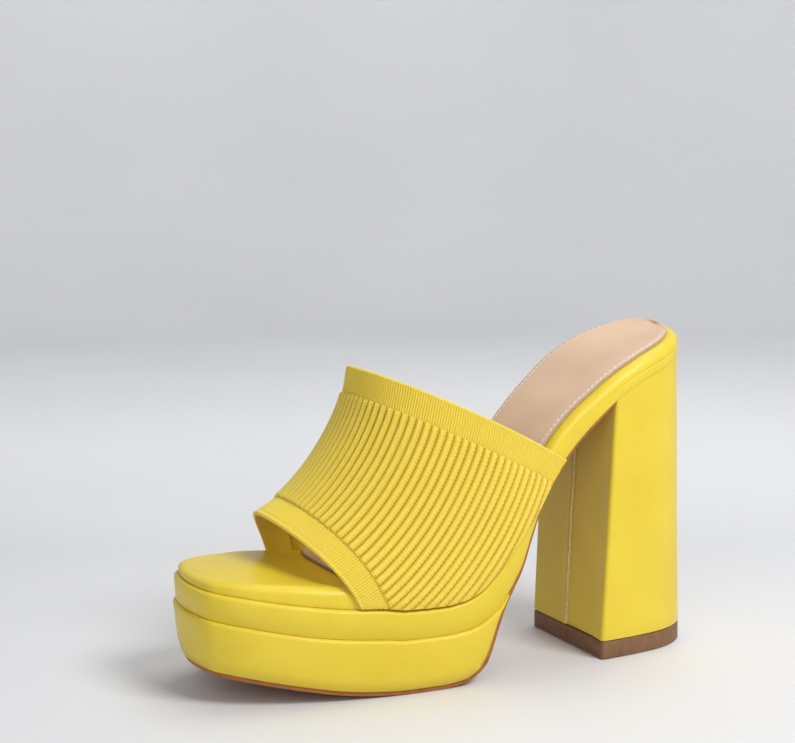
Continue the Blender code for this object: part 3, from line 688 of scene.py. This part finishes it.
def knit_field_data():
    """Lining points and outward directions over the whole upper, on a grid of place and turn."""
    even = np.linspace(0, 1, TURNS)
    turns = even - COLUMN_CROWDING * np.sin(2 * math.pi * even) / (2 * math.pi)
    places = np.linspace(0, 1, PLACES)
    points = np.array([section_points(place, turns) for place in places])
    around = np.gradient(points, axis=1)
    along = np.gradient(points, axis=0)
    out = np.cross(around, along)
    out /= np.linalg.norm(out, axis=2)[..., None]
    steps = np.linalg.norm(np.diff(points, axis=1), axis=2)
    to_start = np.concatenate([np.zeros((PLACES, 1)), np.cumsum(steps, axis=1)], axis=1)
    to_feather = np.minimum(to_start, to_start[:, -1:] - to_start)
    level = np.clip(to_feather / FEATHER_REACH, 0, 1)
    out[..., 2] *= level
    out /= np.linalg.norm(out, axis=2)[..., None]
    along /= np.linalg.norm(along, axis=2)[..., None]
    strides = np.linalg.norm(np.diff(points, axis=0), axis=2)
    run = np.concatenate([np.zeros((1, TURNS)), np.cumsum(strides, axis=0)])
    return points, out, along, run


def section_points(place, turns):
    """Inner face of the upper across one section, as in the part's own wall."""
    angle = math.pi * turns
    lift = np.abs(np.sin(angle)) ** (2 / SECTION_POWER)
    reach = np.abs(np.cos(angle)) ** (2 / SECTION_POWER)
    side = np.where(turns < 0.5, 1.0, -1.0)
    foot_x = np.where(side > 0, outer_x(place), inner_x(place))
    top_x = float(ridge_x(place))
    x = foot_x + (top_x - foot_x) * lift - float(bow_back(place)) * 4 * lift * (1 - lift)
    foot_y = side * half_widths(foot_x, side)
    foot_z = foot_line(foot_x) + upright(foot_line, foot_x, GAP) + cant(foot_x, foot_y)
    top_z = float(foot_line(top_x)) + float(ridge_rise(place))
    z = foot_z + (top_z - foot_z) * lift
    edge_y = side * (half_widths(x, side) + UPPER_CLEAR)
    y = -RIDGE_SHIFT + (edge_y + RIDGE_SHIFT) * reach
    half = half_widths(x, side)
    bead = np.clip(z - foot_top(x) - cant(x, side * half) + BEAD_RADIUS, 0, BEAD_RADIUS)
    rim = half - BEAD_RADIUS + np.sqrt(BEAD_RADIUS ** 2 - bead ** 2) + UPPER_CLEAR
    low = z < foot_top(x) + cant(x, y)
    y = np.where(low, side * np.maximum(side * y, rim), y)
    return np.column_stack([x, y, z])


class Wall:
    """The upper's wall, read by distance from its collar or toe edge and by rib."""

    def __init__(self):
        self.points, self.out, self.along, self.run = knit_field_data()
        self.total = self.run[-1]
        self.middle = TURNS // 2

    def row(self, distances):
        """Points, outward and forward directions of one row. distances: from the collar, one per turn."""
        found = [np.array([[np.interp(distances[turn], self.run[:, turn], grid[:, turn, axis])
                            for axis in range(3)] for turn in range(TURNS)])
                 for grid in (self.points, self.out, self.along)]
        steps = np.linalg.norm(np.diff(found[0], axis=0), axis=1)
        arc = np.concatenate([[0], np.cumsum(steps)])
        return found, arc - arc[self.middle]


def rib_pitch(share):
    return COLLAR_PITCH + (TOE_PITCH - COLLAR_PITCH) * share


def sample(found, arc, at_arc):
    return [np.column_stack([np.interp(at_arc, arc, grid[:, axis]) for axis in range(3)]) for grid in found]


class Sheet:
    """A grid of vertices that may run out at both sides, with its border kept for closing the wall."""

    def __init__(self, bm, uv_layer, painted_shading_layer):
        self.bm = bm
        self.uv = uv_layer
        self.painted_shading = painted_shading_layer
        self.rows = []

    def add_row(self, points, painted_shading_values, uvs, first, last):
        """Add a row. Columns before first and after last share the vertex at the feather line."""
        made = []
        for k in range(len(points)):
            if made and (k <= first or k > last):
                made.append(made[-1])
                continue
            vert = self.bm.verts.new(points[k])
            vert[self.painted_shading] = painted_shading_values[k]
            made.append(vert)
        self.rows.append((made, uvs))

    def fill(self):
        for (row_a, uv_a), (row_b, uv_b) in zip(self.rows[:-1], self.rows[1:]):
            for k in range(len(row_a) - 1):
                corners = {}
                for vert, uv in ((row_a[k], uv_a[k]), (row_a[k + 1], uv_a[k + 1]),
                                 (row_b[k + 1], uv_b[k + 1]), (row_b[k], uv_b[k])):
                    corners.setdefault(vert, uv)
                if len(corners) < 3:
                    continue
                face = self.bm.faces.new(list(corners))
                for loop in face.loops:
                    loop[self.uv].uv = corners[loop.vert]

    def sides(self):
        """The four border lines: first row, last column, last row and first column."""
        first = list(dict.fromkeys(self.rows[0][0]))
        last = list(dict.fromkeys(self.rows[-1][0]))
        return first, [row[0][-1] for row in self.rows], last, [row[0][0] for row in self.rows]


def zip_lines(bm, a, b):
    """Triangles between two lines of vertices that run the same way."""
    def shares(line):
        steps = [(q.co - p.co).length for p, q in zip(line[:-1], line[1:])]
        run = np.concatenate([[0], np.cumsum(steps)])
        return run / run[-1]

    at_a, at_b = shares(a), shares(b)
    i = j = 0
    while i < len(a) - 1 or j < len(b) - 1:
        ahead_a = at_a[i + 1] if i < len(a) - 1 else 2.0
        ahead_b = at_b[j + 1] if j < len(b) - 1 else 2.0
        if ahead_a <= ahead_b:
            corners = (a[i], a[i + 1], b[j])
            i += 1
        else:
            corners = (a[i], b[j + 1], b[j])
            j += 1
        bm.faces.new(corners)


def rib_profile(share, bead):
    """Height of a rib at shares of its pitch: a rounded tube with a beaded first edge, then the groove."""
    start = RIB_START + BEAD_BITE * (1 - bead)
    middle, reach = (start + RIB_STOP) / 2, (RIB_STOP - start) / 2
    tube = np.clip(1 - ((share - middle) / reach) ** 2, 0, 1) ** RIB_POWER
    dent = (DENT_DEPTH + DENT_BETWEEN * (1 - bead)) * bell(share, DENT_PLACE, DENT_WIDTH)
    return np.clip(tube - dent, 0, 1)


def make_knit_piece(name, wall, mat, row_specs, columns, height, inner_sink, replaced=()):
    """A closed piece of the upper.

    row_specs lists (share of the way to the toe for the pitch, distance from the collar per turn).
    height gives (outward height, forward push, painted shade value) of a row from its number, the columns as
    ribs from the ridge, the pitch and the distances to the feather line.
    """
    bm = bmesh.new()
    uv_layer = bm.loops.layers.uv.new("knit")
    painted_shading_layer = bm.verts.layers.float.new("painted_shading")
    outer = Sheet(bm, uv_layer, painted_shading_layer)
    for index, (share, distances) in enumerate(row_specs):
        found, arc = wall.row(distances)
        pitch = rib_pitch(share)
        low, high = arc[0] / pitch, arc[-1] / pitch
        inside = np.clip(columns, low, high)
        points, out, along = sample(found, arc, inside * pitch)
        to_edge = np.minimum(inside - low, high - inside) * pitch
        lifts, pushes, painted_shading_values = height(index, inside, pitch, to_edge)
        placed = points + out * lifts[:, None] + along * pushes[:, None]
        along_row = float(np.mean(distances)) * UV_UNITS
        uvs = [(float(c), along_row) for c in inside]
        first = int(np.searchsorted(columns, low)) - 1
        last = int(np.searchsorted(columns, high))
        outer.add_row([tuple(p) for p in placed], painted_shading_values, uvs, max(first, 0), min(last, len(columns) - 1))
    outer.fill()
    inner = Sheet(bm, uv_layer, painted_shading_layer)
    coarse = np.linspace(0, TURNS - 1, INNER_COLUMNS).astype(int)
    picked = np.unique(np.linspace(0, len(row_specs) - 1, min(INNER_ROWS, len(row_specs))).astype(int))
    for index in picked:
        share, distances = row_specs[index]
        found, arc = wall.row(distances)
        points = found[0][coarse] - found[1][coarse] * inner_sink
        uvs = [(float(c), float(np.mean(distances)) * UV_UNITS) for c in arc[coarse] / rib_pitch(share)]
        inner.add_row([tuple(p) for p in points], [0.45] * len(points), uvs, 0, len(points) - 1)
    inner.fill()
    for a, b in zip(outer.sides(), inner.sides()):
        zip_lines(bm, a, b)
    finish_object(name, bm, [mat], replaced, sharp_degrees=180)


def make_field(wall, mat):
    field = wall.total - 2 * CUFF_WIDTH
    ridge_length = float(field[wall.middle])
    count = int(round(ridge_length / BEAD_PITCH)) * ROWS_PER_BEAD
    specs = []
    for k in range(count + 1):
        share = k / count
        distances = CUFF_WIDTH + field * share
        specs.append((float(np.mean(distances / wall.total)), distances))
    most = math.ceil(HALF_GIRTH / COLLAR_PITCH)
    columns = np.array([rib + share for rib in range(-most, most) for share in RIB_SAMPLES])

    def height(index, ribs, _, to_edge):
        number = np.floor(ribs)
        share = ribs - number
        step = 2 * math.pi * index / ROWS_PER_BEAD
        bead = 0.5 + 0.5 * np.cos(step + number * BEAD_SHIFT)
        shape = rib_profile(share, bead)
        from_end = min(index, count - index) * ridge_length / count
        ramp = math.sqrt(max(0.0, 1 - max(0.0, 1 - from_end / RIB_END) ** 2))
        fade = FEATHER_STEP + (1 - FEATHER_STEP) * np.clip(to_edge / FEATHER_REACH, 0, 1)
        lifts = CUFF_WALL - NOTCH + (RIB_STEP + NOTCH) * shape * ramp * fade
        lifts = np.where(to_edge < 1e-7, CUFF_WALL - NOTCH, lifts)
        # Painted shade: darker in the grooves, where a rib rises out of the cuff, towards the feather line
        # and between the beads
        shade = np.clip(shape * (0.55 + 0.45 * ramp), 0, 1) * (0.55 + 0.45 * fade)
        shade = np.where(share < BEAD_SIDE, shade * (0.74 + 0.26 * bead), shade)
        return lifts, np.zeros(len(ribs)), shade

    make_knit_piece("knit_ribs", wall, mat, specs, columns, height, 0.0, ("upper",))


def bell(value, middle, width):
    """1 at the middle and close to 0 beyond twice the width on either side."""
    return np.exp(-((value - middle) / width) ** 2)


def make_cuff(name, wall, mat, toe):
    """A cuff: fine ribs square to the edge, a rounded edge and the line where it meets the ribs."""
    depths = np.array(CUFF_ROWS) * CUFF_WIDTH
    specs = []
    for depth in depths:
        distances = wall.total - depth if toe else depth + 0 * wall.total
        specs.append((float(np.mean(distances / wall.total)), distances))
    if toe:
        specs = specs[::-1]
        depths = depths[::-1]
    most = math.ceil(HALF_GIRTH / COLLAR_PITCH)
    per_rib = FINE_RIBS * FINE_SAMPLES
    columns = np.arange(-most * per_rib, most * per_rib + 1) / per_rib
    tooth = TOE_TOOTH if toe else COLLAR_TOOTH

    def height(index, ribs, pitch, to_edge):
        depth = depths[index]
        fine = 0.5 + 0.5 * np.cos(2 * math.pi * ribs * FINE_RIBS)
        roll = math.sqrt(max(0.0, 1 - max(0.0, 1 - depth / EDGE_ROLL) ** 2))
        teeth = np.abs(np.cos(math.pi * ribs * pitch / tooth[0])) ** 0.7
        near = bell(depth, 0.0, 0.9 * EDGE_ROLL)
        stitches = bell(depth, STITCH_LINE, STITCH_GROOVE[0]) if toe else 0.0
        joint = bell(depth, CUFF_WIDTH, JOINT_GROOVE[0])
        lifts = CUFF_WALL * (EDGE_WALL + (1 - EDGE_WALL) * roll) - FINE_RELIEF * (1 - fine) * (1 - near)
        lifts += tooth[1] * teeth * near * roll - stitches * STITCH_GROOVE[1] - joint * JOINT_GROOVE[1]
        pushes = (1 if toe else -1) * tooth[1] * teeth * near
        # Painted shade: darker in the fine ribs' grooves, in the line of stitches, at the joint and towards
        # the feather line; lightest on the edge's teeth
        shade = 0.46 + 0.42 * fine * (1 - near) + 0.42 * teeth * near - 0.12 * stitches - 0.10 * joint
        edge = np.clip(to_edge / 0.0015, 0, 1)
        return lifts, pushes, shade * (0.6 + 0.4 * edge)

    make_knit_piece(name, wall, mat, specs, columns, height, LINING_SINK)


def make_outsole(mat):
    profile = [(-BOARD_BEVEL, 0, 0.0), (-0.25 * BOARD_BEVEL, 0, 0.3 * BOARD_BEVEL),
               (0.0, 0, BOARD_BEVEL), (0.0, 1, 0.0002), (-0.0002, 1, 0.0)]
    layer("outsole_board", [mat], ["outsole"], stations_from(BREAST_TOP + GAP), profile,
          board_bottom, above(board_top, -GAP), across=8, tuck=BOARD_TUCK)


def make_lower_tier(mat):
    profile = [(LOWER_FOOT_OUT - 0.0005, 0, 0.0), (LOWER_FOOT_OUT, 0, 0.0004),
               (0.45 * LOWER_RIM_OUT, 0, 0.0080)] + rounded(LOWER_RIM_OUT, RIM_RADIUS, 8)
    layer("platform_lower_wrap", [mat], ["platform_lower"],
          stations_from(tier_start(lower_share)), profile, above(board_top, -GAP), above(tier_line, -GAP),
          across=8)


def make_upper_tier(mat):
    foot = UPPER_RIM_OUT - UPPER_FOOT_TUCK
    profile = [(foot - EDGE_BEVEL, 0, 0.0), (foot, 0, EDGE_BEVEL)] + rounded(UPPER_RIM_OUT, RIM_RADIUS, 8)
    layer("platform_upper_wrap", [mat], ["platform_upper"],
          stations_from(tier_start(upper_share)), profile, above(tier_line, -GAP), above(foot_line, -GAP),
          across=8)


def make_footbed(mat):
    def profile(x):
        fold = FOLD_DEPTH * float(np.clip((FOLD_FRONT - x) / FOLD_REACH, 0, 1))
        wall = [(-EDGE_BEVEL, 0, 0.0), (-0.3 * EDGE_BEVEL, 0, 0.3 * EDGE_BEVEL), (0.0, 0, EDGE_BEVEL)]
        for rise, sink in ((-0.0008, 0.0), (-0.0003, 0.5), (0.0, 1.0), (0.0003, 0.5), (0.0007, 0.0)):
            wall.append((-fold * sink, 1, BEAD_RADIUS + FOLD_DROP - rise))
        return wall + rounded(0.0, BEAD_RADIUS, 12)

    layer("footbed_wrap", [mat], ["footbed"], make_stations(), profile,
          above(foot_line, -GAP), foot_top, across=24, dish=(0.0, SEAT_DISH), tips=(True, True))


def sock_front(x, share):
    """How far a point of the sock is drawn forward, so that its front edge bows."""
    front = FOOT_BACK + SOCK_LENGTH
    near = np.clip((x - (front - SOCK_DRAW)) / SOCK_DRAW, 0, 1)
    return SOCK_ROUND * near ** 2 * (1 - (2 * share - 1) ** 2)


SOCK_EDGE = -BEAD_RADIUS - SOCK_INSET


def make_sock(mats):
    common = make_stations()
    front = FOOT_BACK + SOCK_LENGTH
    xs = np.concatenate([common[common < front - STATION_GAP], [front]])
    profile = [(SOCK_EDGE, 0, 0.0), (SOCK_EDGE, 1, 0.0003), (SOCK_EDGE - 0.0003, 1, 0.0)]
    layer("sock_lining", mats, ["sock"], xs, profile, above(foot_top, GAP),
          above(foot_top, GAP + SOCK), across=24, dish=(SEAT_DISH, SEAT_DISH), tips=(True, False),
          bow=sock_front, wall_mat=1)


def sock_surface(x, y):
    """Height of the sock's upper face at a plan point."""
    outer = edge_point(x, 1, SOCK_EDGE)[1]
    inner = edge_point(x, -1, SOCK_EDGE)[1]
    share = float(np.clip((outer - y) / max(outer - inner, STATION_GAP), 0, 1))
    top = float(foot_top(x)) + float(upright(foot_top, x, GAP + SOCK)) + float(cant(x, y))
    return top - SEAT_DISH * float(dish_share(x)) * hollow_share(share)


def stitch_line():
    """Points of the sewing round the sock's edge, from its front outer corner to its front inner one."""
    front = FOOT_BACK + SOCK_LENGTH - 0.003
    inset = SOCK_EDGE - STITCH_INSET
    line = []
    for side in (1, -1):
        loop, out = PLAN_SIDES[side]
        plan = loop + inset * out
        ahead = (plan[:, 0] < front) & (plan[:, 0] > FOOT_BACK - inset) & (side * plan[:, 1] > 0)
        points = plan[ahead]
        line += list(points[::-1] if side > 0 else points)
    return np.array([(px, py, sock_surface(px, py)) for px, py in line])


def make_stitches(mat):
    """Short raised threads at even steps along the sewing line."""
    line = stitch_line()
    run = np.concatenate([[0], np.cumsum(np.linalg.norm(np.diff(line, axis=0), axis=1))])
    bm = bmesh.new()
    count = int(run[-1] / STITCH_STEP)
    for k in range(count):
        middle = (k + 0.5) * STITCH_STEP
        ends = [np.array([np.interp(middle + d, run, line[:, a]) for a in range(3)])
                for d in (-0.5 * STITCH_LENGTH, 0.5 * STITCH_LENGTH)]
        ahead = Vector(ends[1] - ends[0])
        centre = Vector((ends[0] + ends[1]) / 2)
        across = ahead.cross(Vector((0, 0, 1))).normalized()
        up = across.cross(ahead).normalized()
        frame_matrix = Matrix((ahead.normalized(), across, up)).transposed().to_4x4()
        frame_matrix.translation = centre
        scale = Matrix.Diagonal((ahead.length / 2, STITCH_WIDTH / 2, STITCH_WIDTH * 0.36, 1))
        bmesh.ops.create_uvsphere(bm, u_segments=8, v_segments=6, radius=1.0, matrix=frame_matrix @ scale)
    finish_object("sock_stitching", bm, [mat], sharp_degrees=180)


def heel_ring(xs, share, z, lap_height=SEAM_LAP):
    """Plan of the heel block as a loop: outer side from breast to back, inner side, then the breast.

    share 0 is the seam at the top and share 1 the tip's plan, which is longer and narrower. On the
    breast the wrap's inner half laps over its outer half by lap_height.
    """
    breast = BREAST_TOP + BREAST_LEAN * share
    top_back = FOOT_BACK + HEEL_INSET
    back = top_back + (BACK - top_back) * share
    narrow = 1 + (HEEL_TIP_WIDTH / (2 * half_width(xs[0], 1) - 2 * HEEL_INSET) - 1) * share
    sides = []
    for side in (1, -1):
        points = []
        for x in xs:
            px, py = edge_point(x, side, -HEEL_INSET)
            points.append((back + (px - top_back) * (breast - back) / (xs[0] - top_back), py * narrow))
        corner = np.array(points[0])
        rounding = []
        for k in range(CORNER_STEPS + 1):
            angle = math.pi / 2 * k / CORNER_STEPS
            rounding.append((corner[0] - BREAST_CORNER * (1 - math.cos(angle)),
                             corner[1] - side * BREAST_CORNER * (1 - math.sin(angle))))
        points[0:1] = rounding
        sides.append(points)
    loop = sides[0] + sides[1][-2::-1]
    first, last = np.array(sides[1][0]), np.array(sides[0][0])
    for k in range(1, BREAST_STRIPS):
        point = first + (last - first) * k / BREAST_STRIPS
        beyond = (point[1] - SEAM_PLACE) / SEAM_EDGE
        sunk = 1 / (1 + math.exp(np.clip(-beyond, -30, 30)))
        swell = SEAM_SWELL * bell(beyond, *SWELL)
        fade = min(1.0, 8 * min(k, BREAST_STRIPS - k) / BREAST_STRIPS)
        loop.append((point[0] - lap_height * (sunk - swell) * fade, point[1]))
    return [(px, py, float(z(px, py))) for px, py in loop]


def make_block(name, mat, replaced, rings):
    """A closed solid through heel rings from bottom to top."""
    bm = bmesh.new()
    made = [[bm.verts.new(p) for p in ring] for ring in rings]
    count = len(made[0])
    for low, high in zip(made[:-1], made[1:]):
        for i in range(count):
            j = (i + 1) % count
            bm.faces.new((low[i], low[j], high[j], high[i]))
    bm.faces.new(made[0])
    bm.faces.new(made[-1])
    finish_object(name, bm, [mat], replaced, sharp_degrees=40)


def heel_stations():
    """X of the heel's seam from breast to back."""
    common = make_stations()
    inside = common[common < BREAST_TOP - 3 * BREAST_CORNER]
    return np.concatenate([[BREAST_TOP], inside[::-1]])


def make_heel(mat):
    xs = heel_stations()
    seam = above(foot_line, -GAP)
    bottom = TOP_PIECE + GAP
    top_ring = heel_ring(xs, 0.0, lambda x, y: seam(x) + cant(x, y))
    tip_ring = heel_ring(xs, 1.0, lambda x, y: bottom)
    rings = [shrink(tip_ring, WRAP_BEVEL, 0.0), shrink(tip_ring, 0.3 * WRAP_BEVEL, 0.3 * WRAP_BEVEL)]
    for k in range(HEEL_RINGS + 1):
        share = k / HEEL_RINGS
        lift = (0, 0, WRAP_BEVEL * (1 - share))
        rings.append([tuple((1 - share) * np.array(p) + share * np.array(q) + lift)
                      for p, q in zip(tip_ring, top_ring)])
    make_block("heel_wrap", mat, ["heel"], rings)


def shrink(ring, inset, lift):
    """A ring drawn in towards its middle and lifted, to round an edge."""
    middle = np.mean(np.array(ring), axis=0)
    rows = []
    for point in ring:
        away = np.array(point) - middle
        away[2] = 0
        size = np.linalg.norm(away)
        rows.append(tuple(np.array(point) - away / size * inset + (0, 0, lift)))
    return rows


def make_top_piece(mat):
    xs = heel_stations()
    rings = []
    for height, inset in ((0.0, TIP_BEVEL), (TIP_BEVEL, 0.0), (TOP_PIECE - TIP_BEVEL, 0.0),
                          (TOP_PIECE, TIP_BEVEL)):
        ring = heel_ring(xs, 1.0, lambda x, y, z=height: z, TIP_LAP)
        rings.append(shrink(ring, inset, 0.0) if inset else ring)
    make_block("heel_tip", mat, ["top_piece"], rings)


def make_plug(mat):
    """The small round moulding mark on the tip's front face."""
    front = BACK + HEEL_LENGTH
    bm = bmesh.new()
    turn = Matrix.Translation((front - 0.0002, *PLUG_PLACE)) @ Matrix.Rotation(math.pi / 2, 4, "Y")
    for radius, depth in ((PLUG_RADIUS, 0.0011), (0.55 * PLUG_RADIUS, 0.0018)):
        bmesh.ops.create_cone(bm, cap_ends=True, segments=28, radius1=radius, radius2=0.9 * radius,
                              depth=depth, matrix=turn)
    finish_object("heel_tip_plug", bm, [mat])


def make_seam_edge(mat):
    """The pale raw edge of the leather where the heel's wrap laps over itself on the breast."""
    bm = bmesh.new()
    seam = above(foot_line, -GAP)
    top_z = float(seam(BREAST_TOP) + cant(BREAST_TOP, 0.0)) - SEAM_TOP_GAP
    foot_z = TOP_PIECE + SEAM_FOOT_GAP
    rows = []
    for k in range(SEAM_ROWS + 1):
        share = k / SEAM_ROWS
        z = foot_z + (top_z - foot_z) * share
        tip_share = 1 - (z - TOP_PIECE) / (top_z - TOP_PIECE)
        x = BREAST_TOP + BREAST_LEAN * tip_share
        wobble = 0.00012 * math.sin(23 * share) + 0.00007 * math.sin(61 * share + 1)
        width = SEAM_EDGE_WIDTH * (0.75 + 0.25 * math.sin(9 * share + 0.6))
        y = SEAM_PLACE + wobble
        section = ((-SEAM_ROOT, -0.5), (-SEAM_PROUD, -0.5), (SEAM_PROUD, 0.0), (-SEAM_PROUD, 0.5),
                   (-SEAM_ROOT, 0.5))
        rows.append([bm.verts.new((x + ahead, y + aside * width, z)) for ahead, aside in section])
    for a, b in zip(rows[:-1], rows[1:]):
        for i in range(5):
            j = (i + 1) % 5
            bm.faces.new((a[i], a[j], b[j], b[i]))
    bm.faces.new(rows[0])
    bm.faces.new(rows[-1])
    finish_object("heel_seam_edge", bm, [mat])


def make_stage():
    """A pale floor that curves up into a wall all round."""
    profile = [(FLOOR_RADIUS * k / STAGE_STEPS, 0.0) for k in range(1, STAGE_STEPS + 1)]
    for k in range(1, STAGE_STEPS + 1):
        angle = math.pi / 2 * k / STAGE_STEPS
        profile.append((FLOOR_RADIUS + WALL_BEND * math.sin(angle), WALL_BEND * (1 - math.cos(angle))))
    profile.append((FLOOR_RADIUS + WALL_BEND, WALL_HEIGHT))
    bm = bmesh.new()
    centre = bm.verts.new((0, 0, 0))
    angles = 2 * math.pi * np.arange(STAGE_SIDES) / STAGE_SIDES
    rings = [[bm.verts.new((radius * math.cos(a), radius * math.sin(a), z)) for a in angles]
             for radius, z in profile]
    for i in range(STAGE_SIDES):
        j = (i + 1) % STAGE_SIDES
        bm.faces.new((centre, rings[0][i], rings[0][j]))
        for low, high in zip(rings[:-1], rings[1:]):
            bm.faces.new((low[i], high[i], high[j], low[j]))
    mesh = bpy.data.meshes.new("studio_floor")
    bm.to_mesh(mesh)
    bm.free()
    mesh.shade_smooth()
    shader = Shader("floor_paint", 0.55, specular=0.3)
    tone = shader.noise(shader.position(), 3.0)
    shader.link(shader.ramp(tone, (0.3, FLOOR[1]), (0.7, FLOOR[0])), "Base Color")
    mesh.materials.append(shader.mat)
    floor = bpy.data.objects.new("studio_floor", mesh)
    floor.location = (*STAGE_CENTRE, -FLOOR_DROP)
    bpy.context.collection.objects.link(floor)


def make_light(name, place, aim, size, power):
    """A square area light that faces a point."""
    data = bpy.data.lights.new(name, "AREA")
    data.size = size
    data.energy = power
    light = bpy.data.objects.new(name, data)
    light.location = place
    light.rotation_mode = "QUATERNION"
    light.rotation_quaternion = (aim - place).to_track_quat("-Z", "Y")
    bpy.context.collection.objects.link(light)


def camera_axes():
    """Right, up and backward directions of the photograph's camera."""
    yaw, pitch, roll = (math.radians(angle) for angle in (CAMERA_YAW, CAMERA_PITCH, CAMERA_ROLL))
    back = Vector((math.sin(yaw) * math.cos(pitch), math.cos(yaw) * math.cos(pitch), math.sin(pitch)))
    right = Vector((-math.cos(yaw), math.sin(yaw), 0.0))
    up = back.cross(right)
    return (right * math.cos(roll) + up * math.sin(roll), up * math.cos(roll) - right * math.sin(roll), back)


def make_camera():
    right, up, back = camera_axes()
    data = bpy.data.cameras.new("photo_camera")
    data.sensor_width = 36.0
    data.lens = CAMERA_LENS
    camera = bpy.data.objects.new("photo_camera", data)
    turn = Matrix((right, up, back)).transposed().to_4x4()
    turn.translation = CAMERA_PLACE
    camera.matrix_world = turn
    bpy.context.collection.objects.link(camera)
    bpy.context.scene.camera = camera


def make_lights():
    right, _, back = camera_axes()
    level = Vector((back.x, back.y, 0)).normalized()
    centre = Vector((*STAGE_CENTRE, 0.0))
    for name, place, aim, size, power in LIGHTS:
        ends = [centre + right * aside + level * ahead + Vector((0, 0, high))
                for aside, ahead, high in (place, aim)]
        make_light(name, *ends, size, power)
    world = bpy.data.worlds.new("studio_air")
    world.use_nodes = True
    sky = world.node_tree.nodes["Background"]
    sky.inputs[0].default_value = (*AIR_COLOUR, 1.0)
    sky.inputs[1].default_value = AIR_STRENGTH
    bpy.context.scene.world = world
    bpy.context.scene.view_settings.view_transform = "Standard"


def main():
    wrap = leather("yellow_leather", *YELLOW, 0.40)
    seat_wrap = leather("yellow_footbed_leather", *YELLOW, 0.36)
    make_outsole(plain("tan_board", *TAN, 0.50, 240.0, 0.00005))
    make_lower_tier(wrap)
    make_upper_tier(wrap)
    make_footbed(seat_wrap)
    nude = leather("nude_lining", *NUDE, 0.50, grain=0.00005, coat=0.0)
    raw_edge = plain("sock_raw_edge", *SOCK_RIM, 0.75, 700.0, 0.00005)
    make_sock([nude, raw_edge])
    make_stitches(plain("white_thread", *THREAD, 0.70, 1500.0, 0.00004))
    make_heel(wrap)
    make_seam_edge(plain("leather_raw_edge", *RAW, 0.8, 900.0, 0.00004))
    rubber = plain("brown_rubber", *RUBBER, 0.55, 320.0, 0.00004)
    make_top_piece(rubber)
    make_plug(rubber)
    yarn = knit("yellow_knit")
    wall = Wall()
    make_field(wall, yarn)
    make_cuff("collar_cuff", wall, yarn, toe=False)
    make_cuff("toe_cuff", wall, yarn, toe=True)
    make_stage()
    make_camera()
    make_lights()


main()
